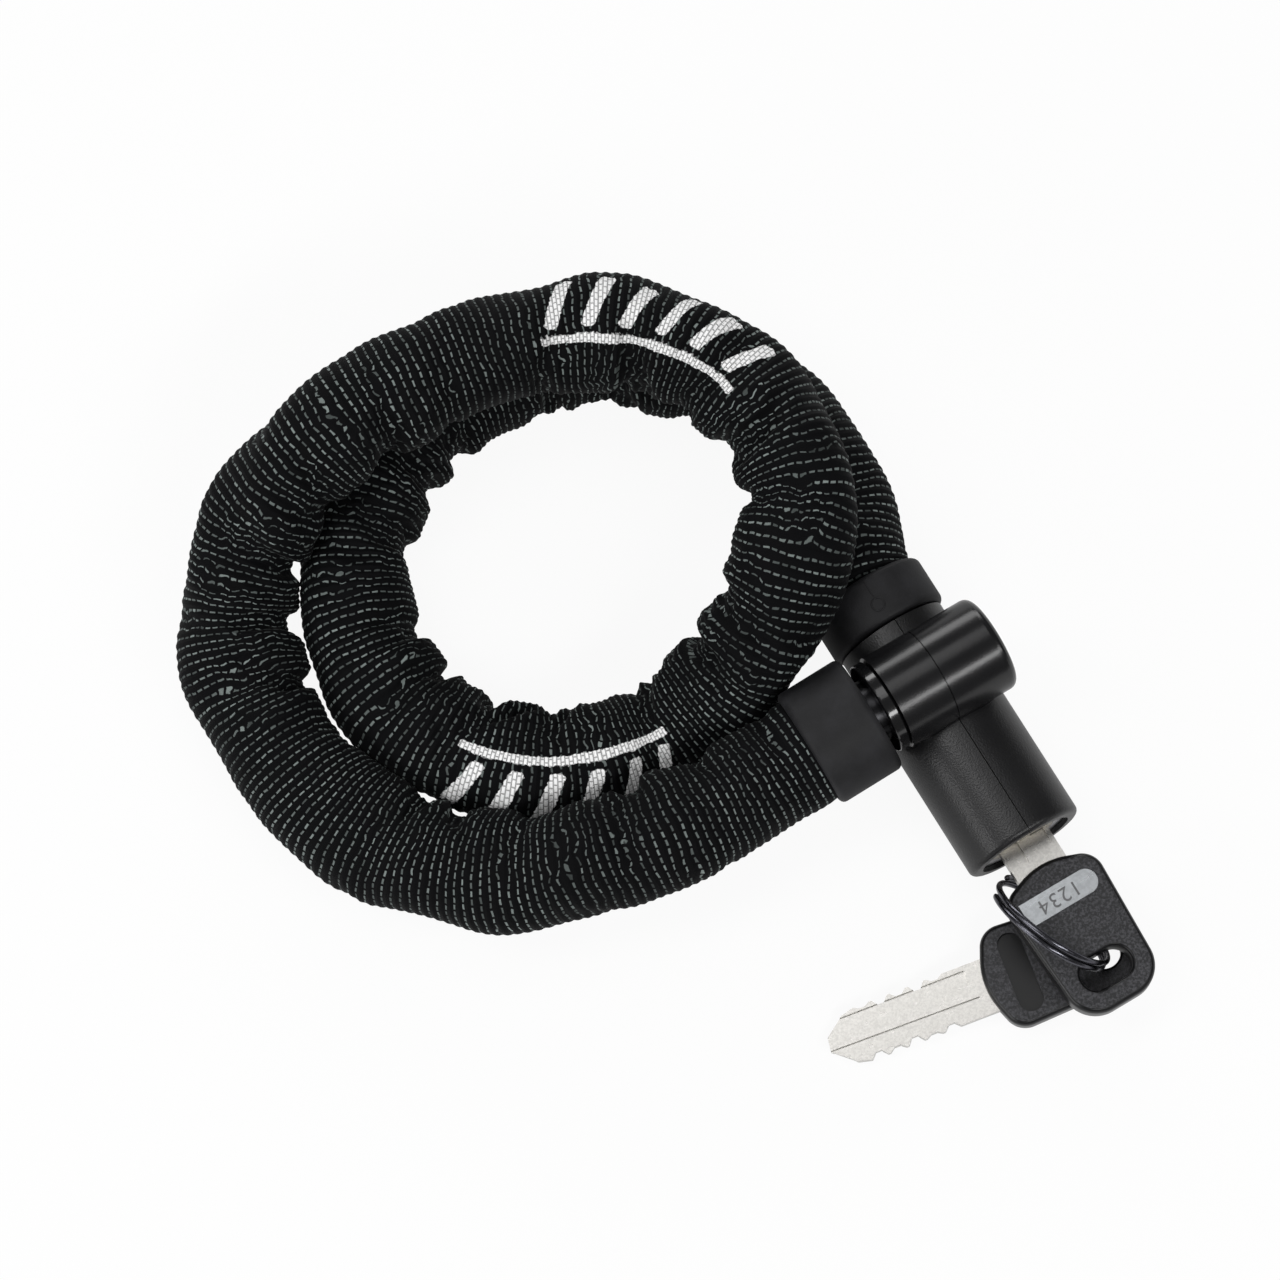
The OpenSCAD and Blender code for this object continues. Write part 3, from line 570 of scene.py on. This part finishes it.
def sleeve_stations():
    """The lengths run at which the sleeve has a ring of points, and the number of the ring at the cut."""
    line, run = route_curve()
    first = CUFF_LOCK_Y - line[0, 1] + SLEEVE_INSET
    last = run[-1] - BOLT_END_GAP - SLEEVE_INSET
    before = np.linspace(first, TAIL_CUT, int((TAIL_CUT - first) / CLOTH_STEP) + 1)
    after = np.linspace(TAIL_CUT, last, int((last - TAIL_CUT) / CLOTH_STEP) + 1)[1:]
    return line, run, np.concatenate([before, after]), len(before) - 1


def bend_strength(ahead, s):
    """How sharply the route bends at each station, averaged over 15 mm: 1 is the full bend."""
    kernel = np.hanning(49) / np.hanning(49).sum()
    turning = np.linalg.norm(np.gradient(ahead, s, axis=0), axis=1)
    turning = np.convolve(np.pad(turning, 24, mode="edge"), kernel, mode="valid")
    return np.clip(turning / FULL_BEND, 0.35, 1.15)


def sleeve_surface(sleeve):
    """The whole sleeve as a grid: stations along the route by angles round it. A point stands off the
    route by the cloth's height, along cos(angle) to the left and sin(angle) up. Angle zero faces the
    inside of the coil. The cloth never goes below the table."""
    rng = np.random.default_rng(11)
    line, run, s, cut = sleeve_stations()
    theta = np.arange(CLOTH_ANGLES) * (2 * math.pi / CLOTH_ANGLES)
    centre = along_route(line, run, s)
    ahead = unit_rows(along_route(line, run, s + 2 * MM) - along_route(line, run, s - 2 * MM))
    left = unit_rows(np.cross([0, 0, 1.0], ahead))
    up = np.cross(ahead, left)

    # Past the cuffs' edges the cloth is free to fold, and it is drawn in towards its two ends.
    from_lock_cuff = s - (s[0] - SLEEVE_INSET) - (CUFF_LOCK_END - CUFF_LOCK_Y)
    from_bolt_cuff = s[-1] + SLEEVE_INSET - BOLT_CUFF_LENGTH - s
    from_cuff = np.minimum(from_lock_cuff, from_bolt_cuff)
    free = smooth_step(from_cuff, -0.5 * MM, 7 * MM)
    drawn = smooth_step(np.minimum(s - s[0], s[-1] - s), 4 * MM, 11 * MM)
    base = sleeve.end_diameter / 2 + (sleeve.diameter - sleeve.end_diameter) / 2 * drawn

    relief = soften(cloth_height(s, theta, sleeve, bend_strength(ahead, s), rng))
    beside = lean_together(s, theta, centre, left, up, sleeve.diameter)
    gathered = free * np.exp(-np.clip(from_cuff, 0, 1) / (6 * MM))
    pleats = 0.22 * MM * np.cos(15 * theta + 0.5)[None, :] * gathered[:, None]
    rib = 0.11 * MM * np.cos(2 * math.pi * s / sleeve.row_pitch) * free
    radius = np.clip(base[:, None] + relief * free[:, None] + pleats, LEAST_RADIUS, MOST_RADIUS)
    radius += rib[:, None] + beside * free[:, None]

    # Below the route, the radius ends at the table.
    down = np.clip(-np.sin(theta), 0.05, 1)
    floor = np.maximum(centre[:, 2], LIE_HEIGHT)[:, None] / down[None, :]
    radius = np.minimum(radius, floor - 0.05 * MM)
    direction = np.cos(theta)[None, :, None] * left[:, None] + np.sin(theta)[None, :, None] * up[:, None]
    points = centre[:, None] + radius[..., None] * direction

    around = np.roll(points, -1, axis=1) - np.roll(points, 1, axis=1)
    normals = unit_rows(np.cross(around, np.gradient(points, axis=0)))
    pucker = smooth_step(np.abs(relief) * free[:, None], 0.35 * MM, 1.5 * MM)
    bars = woven_bars(s, theta, sleeve.diameter / 2)
    return {"s": s, "points": points, "normals": normals, "pucker": pucker, "bars": bars, "centre": centre,
            "cut": cut}


def cloth_tube(name, grid, rows, sleeve, material):
    """One stretch of the sleeve as a piece, with its weave map: u counts rows of thread along the
    sleeve and v counts stitches round it."""
    mesh = grid_mesh(name, grid["points"][rows], close_v=True)
    store_number(mesh, "pucker", grid["pucker"][rows])
    store_number(mesh, "bars", grid["bars"][rows])
    u = grid["s"][rows] / sleeve.row_pitch
    v = np.arange(CLOTH_ANGLES + 1) / CLOTH_ANGLES * sleeve.stitches
    corner_u = np.stack([u[:-1], u[:-1], u[1:], u[1:]], -1)[:, None, :]
    corner_v = np.stack([v[:-1], v[1:], v[1:], v[:-1]], -1)[None, :, :]
    shape = (len(u) - 1, CLOTH_ANGLES, 4)
    pairs = np.stack([np.broadcast_to(corner_u, shape), np.broadcast_to(corner_v, shape)], -1)
    layer = mesh.uv_layers.new(name="weave")
    layer.data.foreach_set("uv", pairs.astype(np.float32).ravel())
    mesh.normals_split_custom_set_from_vertices(grid["normals"][rows].reshape(-1, 3))
    return add_piece(name, mesh, material)


class CHAINLOCK_OT_studio(bpy.types.Operator):
    """Adds the camera, a white floor and soft lights"""
    bl_idname = "chainlock.studio"
    bl_label = "Studio"

    def execute(self, context):
        studio = context.scene.chainlock_studio
        target = Vector(studio.target)
        flat = math.cos(studio.elevation)
        away = Vector((flat * math.sin(studio.azimuth), -flat * math.cos(studio.azimuth),
                       math.sin(studio.elevation)))
        data = bpy.data.cameras.new("camera")
        data.sensor_width = 36.0
        data.lens = data.sensor_width * studio.distance / studio.view_width
        camera = bpy.data.objects.new("camera", data)
        context.scene.collection.objects.link(camera)
        camera.location = target + away * studio.distance
        camera.rotation_euler = (-away).to_track_quat("-Z", "Y").to_euler()
        context.scene.camera = camera
        self.add_floor(context)
        self.add_lights(context, target)
        context.scene.view_settings.view_transform = "Standard"
        return {"FINISHED"}

    def add_floor(self, context):
        """A wide floor just below the object: mostly plain white to the camera, with a trace of the
        object's shadow, and pale to everything else."""
        f = Finish("studio_floor")
        tone = f.noise(f.place(), 40.0)
        paper = f.mix(tone, (0.8, 0.8, 0.8), (0.82, 0.82, 0.82))
        diffuse = f.node("ShaderNodeBsdfDiffuse", None, {"Color": paper})
        glow = f.node("ShaderNodeEmission", None, {"Color": (1, 1, 1), "Strength": 1.0})
        rays = f.node("ShaderNodeLightPath").socket.node.outputs
        seen = Wire(f, rays["Is Camera Ray"]) * 0.92
        mirrored = Wire(f, rays["Is Glossy Ray"]) * 0.35 + Wire(f, rays["Is Transmission Ray"]) * 0.35
        f.surface({0: seen + mirrored, 1: diffuse, 2: glow}, "ShaderNodeMixShader")
        half, below = 3.0, 0.1 * MM
        corners = np.array([[(-half, -half, -below), (half, -half, -below)],
                            [(-half, half, -below), (half, half, -below)]])
        floor = add_piece("floor", grid_mesh("floor", corners, smooth=False), f.material)

    def add_lights(self, context, target):
        """A long strip on the near side, two boxes overhead, and two low fills, each with its place from
        the target, its two sides in metres and its power in watts. A dim white world fills the rest."""
        lamps = (("near_strip", (0.13, -0.68, 0.78), (1.0, 0.16), 5.5),
                 ("satin_box", (-0.42, 0.22, 0.88), (0.3, 0.5), 2.6),
                 ("high_box", (0.08, 0.25, 0.95), (0.4, 0.45), 1.1),
                 ("far_fill", (0.35, 1.05, 0.45), (1.0, 0.4), 6.0),
                 ("low_left", (-1.0, -0.1, 0.42), (0.9, 0.3), 4.5))
        for name, offset, size, power in lamps:
            data = bpy.data.lights.new(name, "AREA")
            data.shape = "RECTANGLE"
            data.size, data.size_y = size
            data.energy = power
            lamp = bpy.data.objects.new(name, data)
            context.scene.collection.objects.link(lamp)
            lamp.location = target + Vector(offset)
            lamp.rotation_euler = (-Vector(offset)).to_track_quat("-Z", "Y").to_euler()
        world = bpy.data.worlds.new("studio_world")
        context.scene.world = world
        world.use_nodes = True
        background = world.node_tree.nodes["Background"].inputs
        background["Color"].default_value = (1, 1, 1, 1)
        background["Strength"].default_value = 0.14


class CHAINLOCK_OT_sleeve(bpy.types.Operator):
    """Makes the cloth sleeve in two pieces, the coil and the stretch next to the lock, and its first links"""
    bl_idname = "chainlock.sleeve"
    bl_label = "Cloth sleeve"

    def execute(self, context):
        sleeve = context.scene.chainlock_sleeve
        material = woven_cloth(sleeve)
        grid = sleeve_surface(sleeve)
        cut = grid["cut"]
        coil = cloth_tube("sleeve_coil", grid, slice(cut, None), sleeve, material)
        tail = cloth_tube("sleeve_near_lock", grid, slice(0, cut + 1), sleeve, material)
        for piece, node in ((coil, "sleeve"), (tail, "sleeve_tail")):
            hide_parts(node)
        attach(coil, "chain_end")
        chain = plated_chain()
        first = self.add_links("first_links", "chain_links_tail", chain)
        second = self.add_links("second_links", "chain_links_01", chain)
        for piece in (tail, first, second):
            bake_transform(piece)
        return {"FINISHED"}

    def add_links(self, name, node, chain):
        """Links next to the lock, a welded copy of the frame's."""
        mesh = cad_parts[node].data.copy()
        work = bmesh.new()
        work.from_mesh(mesh)
        bmesh.ops.remove_doubles(work, verts=work.verts, dist=0.001 * MM)
        work.to_mesh(mesh)
        work.free()
        links = add_piece(name, mesh, chain)
        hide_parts(node)
        return links


class CHAINLOCK_OT_lock(bpy.types.Operator):
    """Finishes the lock's covers, cuffs and plug, and adds the moulding mark on the cuff"""
    bl_idname = "chainlock.lock"
    bl_label = "Lock"

    def execute(self, context):
        lock = context.scene.chainlock_lock
        rubber = soft_rubber(lock)
        paint(moulded_cover(lock), "cover_left", "cover_right")
        paint(rubber, "cuff_lock_side", "cuff_bolt_side")
        paint(gloss_ring(lock), "barrel_mouth_ring")
        paint(metal("face_metal", (0.5, 0.5, 0.51), 0.42), "face_plate")
        paint(metal("case_metal", (0.32, 0.32, 0.33), 0.5), "lock_case", "spring_cap")
        paint(metal("plug_metal", (0.42, 0.39, 0.33), 0.35), "plug")
        self.add_cuff_mark(rubber)
        return {"FINISHED"}

    def add_cuff_mark(self, rubber):
        """A small raised ring on top of the cuff, and the moulding line that runs from it: a round
        profile carried round a circle and along a line that both follow the cuff's surface."""
        turn = np.linspace(0, 2 * math.pi, 48, endpoint=False)
        around = np.linspace(0, 2 * math.pi, 10, endpoint=False)
        ring_r, wire, aside = 1.2 * MM, 0.16 * MM, 1.2 * MM
        centre_y = (CUFF_LOCK_Y + CUFF_LOCK_END) / 2 - 1.2 * MM
        out = ring_r + wire * np.cos(around)
        x = out[None, :] * np.cos(turn)[:, None] - aside
        y = out[None, :] * np.sin(turn)[:, None] + centre_y
        seat = PLUG_Z + np.sqrt(CUFF_LOCK_R ** 2 - x ** 2)
        ring = np.stack([x, y, seat + wire * 0.8 * np.sin(around)[None, :]], -1)
        mesh = grid_mesh("cuff_mark", ring[:, ::-1], close_u=True, close_v=True)
        mark = add_piece("cuff_mark", mesh, rubber)
        run = np.linspace(centre_y + ring_r, CUFF_LOCK_END - 1.0 * MM, 12)
        across = np.linspace(-wire, wire, 7)
        shape = (len(run), len(across))
        x = np.broadcast_to(across - aside, shape)
        rise = 0.09 * MM * (1 - (across / wire) ** 2)[None, :] - 0.02 * MM
        seat = PLUG_Z + np.sqrt(CUFF_LOCK_R ** 2 - x ** 2)
        seam = np.stack([x, np.broadcast_to(run[:, None], shape), seat + rise], -1)
        line = add_piece("cuff_line", grid_mesh("cuff_line", seam), rubber)
        for piece in (mark, line):
            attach(piece, "lock_head")


def directions(count):
    """Unit vectors all the way round."""
    angle = np.arange(count) * 2 * math.pi / count
    return np.stack([np.cos(angle), np.sin(angle)], -1)


def head_outline(keys, inset, aim):
    """The head's edge moved inwards by inset. For each direction the point is the furthest of four
    corner circles and, over the blade, of a shallow dome. Near is the radius of the two circles beside
    the blade, shoulder is how far down they lie, and far is the radius of the other two."""
    half = keys.head_width / 2
    near, shoulder, far, far_in = 4.2 * MM, 5.6 * MM, 6.2 * MM, 7 * MM
    dome, reach = 13.5 * MM, 6.6 * MM
    centres = np.array([(half - near, -shoulder), (near - half, -shoulder),
                        (half - far_in, far - keys.head_length), (far_in - half, far - keys.head_length)])
    radii = np.array([near, near, far, far])
    support = aim @ centres.T + radii
    best = support.argmax(1)
    points = centres[best] + radii[best, None] * aim
    over_blade = (np.abs(aim[:, 0]) * dome < reach) & (aim[:, 1] > 0)
    on_dome = over_blade & (dome - dome * aim[:, 1] > support.max(1))
    points[on_dome] = aim[on_dome] * dome - (0, dome)
    return points - inset * aim


def slot_outline(length, width, centre, outset, aim):
    """A slot with round ends, made larger all round by outset: the furthest point, in each direction,
    of its two end circles."""
    half = (length - width) / 2
    side = np.where(aim[:, :1] >= 0, half, -half)
    return np.hstack([side, np.zeros_like(side)]) + centre + aim * (width / 2 + outset)


def head_mesh(name, keys):
    """A key's head with its hole, closed: the profile runs up the hole's wall, over the flat face,
    round the outer edge and back along the other face, and both edges are quarter rounds."""
    half = keys.head_thickness / 2
    soft, hole_soft = 1.15 * MM, 0.7 * MM
    aim = directions(160)
    quarter = np.linspace(0, math.pi / 2, 7)
    rings, heights = [], []
    for a in quarter:
        rings.append(slot_outline(*KEY_HOLE, hole_soft * (1 - math.cos(a)), aim))
        heights.append(half - hole_soft * (1 - math.sin(a)))
    inner, outer = rings[-1], head_outline(keys, soft, aim)
    for t in np.linspace(0.08, 0.92, 8):
        rings.append(inner * (1 - t) + outer * t)
        heights.append(half)
    for a in quarter[::-1]:
        rings.append(head_outline(keys, soft * (1 - math.cos(a)), aim))
        heights.append(half - soft * (1 - math.sin(a)))
    rings = np.array(rings + rings[::-1])
    heights = np.array(heights + [-h for h in heights[::-1]])
    points = np.dstack([rings, np.broadcast_to(heights[:, None], rings.shape[:2])])
    return grid_mesh(name, points[::-1], close_u=True, close_v=True)


def slot_solid(name, length, width, low, high, square_end=False):
    """A closed slot-shaped block between two heights, to cut with. One end may be cut off square."""
    count, centre = 64, POCKET_MIDDLE
    aim = directions(count)
    outline = slot_outline(length, width, centre, 0, aim)
    if square_end:
        left = aim[:, 0] < 0
        outline[left, 0] = centre[0] - length / 2
        outline[left, 1] = centre[1] + aim[left, 1] / aim[left, 1].max() * width / 2
    mesh = bpy.data.meshes.new(name)
    lower = np.column_stack([outline, np.full(count, low)])
    upper = np.column_stack([outline, np.full(count, high)])
    here = np.arange(count)
    ahead = (here + 1) % count
    walls = np.stack([here, ahead, ahead + count, here + count], -1).tolist()
    ends = [list(range(count - 1, -1, -1)), list(range(count, 2 * count))]
    mesh.from_pydata(np.vstack([lower, upper]), [], walls + ends)
    mesh.update()
    return bpy.data.objects.new(name, mesh)


class CHAINLOCK_OT_keys(bpy.types.Operator):
    """Makes both key heads and the split ring, and finishes the blades and code plates"""
    bl_idname = "chainlock.keys"
    bl_label = "Keys"

    def execute(self, context):
        keys = context.scene.chainlock_keys
        plastic = grained_plastic(keys)
        nickel = metal("bright_nickel", keys.nickel, 0.3, (900.0, 900.0, 900.0), 0.00002, 0.15, 2300.0)
        plate = metal("plate_metal", (0.5, 0.52, 0.54), 0.3, (90.0, 1500.0, 900.0))
        paint(nickel, "key_blade", "spare_key_blade")
        paint(plate, "key_code_plate", "spare_key_code_plate")
        here = Matrix.Translation((0, KEY_Y, PLUG_Z))
        rise = BLADE_HALF + BLADE_LENGTH * math.sin(SPARE_PITCH)
        there = (Matrix.Translation((*SPARE_SPOT, rise)) @ Matrix.Rotation(SPARE_TURN, 4, "Z")
                 @ Matrix.Rotation(-SPARE_PITCH, 4, "X") @ Matrix.Rotation(math.pi, 4, "Y"))
        for name, place, node, body in (("key_grip", here, "key_head", "key"),
                                        ("spare_key_grip", there, "spare_key_head", "spare_key")):
            piece = self.add_head(context, name, keys, plastic)
            piece.data.transform(place)
            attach(piece, body)
            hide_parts(node)
        self.add_code(here, keys)
        self.add_ring(keys)
        return {"FINISHED"}

    def add_head(self, context, name, keys, plastic):
        """The head with a pocket for the code plate in one face and a plain long pocket in the other."""
        piece = add_piece(name, head_mesh(name, keys), plastic)
        half = keys.head_thickness / 2
        bottom = half - POCKET_DEPTH
        pockets = (slot_solid("plate_pocket", 15.1 * MM, 4.7 * MM, bottom, half + MM, square_end=True),
                   slot_solid("back_pocket", 15 * MM, 4.6 * MM, -half - MM, -bottom))
        for pocket in pockets:
            context.scene.collection.objects.link(pocket)
            cut = piece.modifiers.new("cut", "BOOLEAN")
            cut.object = pocket
            cut.operation = "DIFFERENCE"
            cut.solver = "EXACT"
        mesh = bpy.data.meshes.new_from_object(piece.evaluated_get(context.evaluated_depsgraph_get()))
        piece.modifiers.clear()
        piece.data = mesh
        mesh.name = name
        for pocket in pockets:
            bpy.data.objects.remove(pocket)
        place = np.zeros(len(mesh.vertices) * 3)
        mesh.vertices.foreach_get("co", place)
        store_number(mesh, "flat", np.abs(place[2::3]) > half - 0.05 * MM)
        mesh.polygons.foreach_set("use_smooth", np.ones(len(mesh.polygons), dtype=bool))
        mesh.set_sharp_from_angle(angle=math.radians(40))
        if not mesh.materials:
            mesh.materials.append(plastic)
        return piece

    def add_code(self, place, keys):
        """Plain numbers stamped on the code plate."""
        f = Finish("stamped_ink")
        tone = f.mix(f.noise(f.place(), 1500.0, 2.0), (0.09, 0.09, 0.095), (0.2, 0.2, 0.205))
        ink = f.surface({"Base Color": tone, "Roughness": 0.55, "Metallic": 0.4})
        data = bpy.data.curves.new("key_code", "FONT")
        data.body = "1234"
        data.size = 3.9 * MM
        data.space_character = 1.12
        data.extrude = 0.03 * MM
        data.align_x = "CENTER"
        data.align_y = "CENTER"
        text = bpy.data.objects.new("key_code_text", data)
        bpy.context.scene.collection.objects.link(text)
        mesh = bpy.data.meshes.new_from_object(text.evaluated_get(bpy.context.evaluated_depsgraph_get()))
        bpy.data.objects.remove(text)
        on_plate = keys.head_thickness / 2 - 0.09 * MM
        spot = Matrix.Translation((-0.3 * MM, POCKET_MIDDLE[1], on_plate))
        mesh.transform(place @ spot @ Matrix.Rotation(math.pi, 4, "Z"))
        piece = add_piece("key_code", mesh, ink)
        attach(piece, "key")

    def add_ring(self, keys):
        """The split ring: a round wire carried along a little less than two turns of a flat helix, which
        leans on the head. Its two ends are rounded down to a point."""
        centre = np.array([-3.6, -47.7, 11.2]) * MM
        heading, lean = math.radians(-70), math.radians(64)
        side = np.array([math.cos(heading), math.sin(heading), 0])
        down = np.array([-math.sin(heading) * math.cos(lean), math.cos(heading) * math.cos(lean),
                         -math.sin(lean)])
        axis = np.cross(side, down)
        wire = keys.ring_wire / 2
        turn = np.linspace(0, 4 * math.pi * 58 / 60, 300)
        angle = turn + math.radians(200)
        out = np.cos(angle)[:, None] * side + np.sin(angle)[:, None] * down
        pitch = keys.ring_wire + 0.08 * MM
        along = pitch * (turn / (2 * math.pi) - 1)
        spine = centre + (keys.ring_diameter / 2 - wire) * out + along[:, None] * axis
        around = np.linspace(0, 2 * math.pi, 16, endpoint=False)
        end = np.clip(np.minimum(turn, turn[-1] - turn) / 0.12, 0, 1)
        size = wire * np.sqrt(1 - (1 - end) ** 2)
        offset = (np.cos(around)[None, :, None] * out[:, None] + np.sin(around)[None, :, None] * axis)
        points = spine[:, None] + np.maximum(size, 1e-6)[:, None, None] * offset
        steel = metal("gunmetal", (0.10, 0.10, 0.115), 0.24, (700.0, 700.0, 700.0), spread=0.25)
        ring = add_piece("key_split_ring", grid_mesh("key_split_ring", points[::-1], close_v=True), steel)
        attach(ring, "key_ring")
        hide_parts("split_ring")


class CHAINLOCK_OT_works(bpy.types.Operator):
    """Finishes the pieces inside: the wafers, latch, springs, bolt, pins and chain"""
    bl_idname = "chainlock.works"
    bl_label = "Works"

    def execute(self, context):
        lock = context.scene.chainlock_lock
        wafers = [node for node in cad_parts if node.startswith("wafer_") and node != "wafer_springs"]
        links = [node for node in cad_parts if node.startswith("chain_links")]
        # Painted shade: the bolt is coloured near black so that the gap at the barrel's mouth, where it
        # shows, reads as the dark shaded gap.
        paint(metal("bolt_painted_shade", (0.03, 0.03, 0.032), 0.3, (60.0, 1200.0, 1200.0)), "bolt")
        paint(metal("turned_steel", lock.steel, 0.25, (60.0, 1200.0, 1200.0)), "latch", "keeper_pin",
              "anchor_pin_lock_side", "anchor_pin_bolt_side")
        paint(metal("spring_wire", lock.steel, 0.3), "latch_spring", "wafer_springs")
        paint(metal("wafer_brass", (0.62, 0.47, 0.22), 0.32), *wafers)
        paint(metal("crimp_band", (0.45, 0.45, 0.46), 0.4),
              "sleeve_clamp_lock_side", "sleeve_clamp_bolt_side")
        paint(plated_chain(), *links)
        return {"FINISHED"}


class CHAINLOCK_PT_panel(bpy.types.Panel):
    """Lists the steps that build the chain lock"""
    bl_idname = "CHAINLOCK_PT_panel"
    bl_label = "Chain Lock"
    bl_space_type = "VIEW_3D"
    bl_region_type = "UI"
    bl_category = "Chain Lock"

    def draw(self, context):
        for operator in OPERATORS:
            self.layout.operator(operator.bl_idname)


SETTINGS = (SleeveSettings, LockSettings, KeySettings, StudioSettings)
OPERATORS = (CHAINLOCK_OT_studio, CHAINLOCK_OT_sleeve, CHAINLOCK_OT_lock, CHAINLOCK_OT_keys,
             CHAINLOCK_OT_works)
SCENE_NAMES = ("chainlock_sleeve", "chainlock_lock", "chainlock_keys", "chainlock_studio")


def register():
    for item in (*SETTINGS, *OPERATORS, CHAINLOCK_PT_panel):
        bpy.utils.register_class(item)
    for name, settings in zip(SCENE_NAMES, SETTINGS):
        setattr(bpy.types.Scene, name, PointerProperty(type=settings))


def unregister():
    for name in SCENE_NAMES:
        delattr(bpy.types.Scene, name)
    for item in reversed((*SETTINGS, *OPERATORS, CHAINLOCK_PT_panel)):
        bpy.utils.unregister_class(item)


def main():
    """Registers the add-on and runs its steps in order."""
    register()
    bpy.ops.chainlock.studio()
    bpy.ops.chainlock.sleeve()
    bpy.ops.chainlock.lock()
    bpy.ops.chainlock.keys()
    bpy.ops.chainlock.works()


if __name__ == "__main__":
    main()
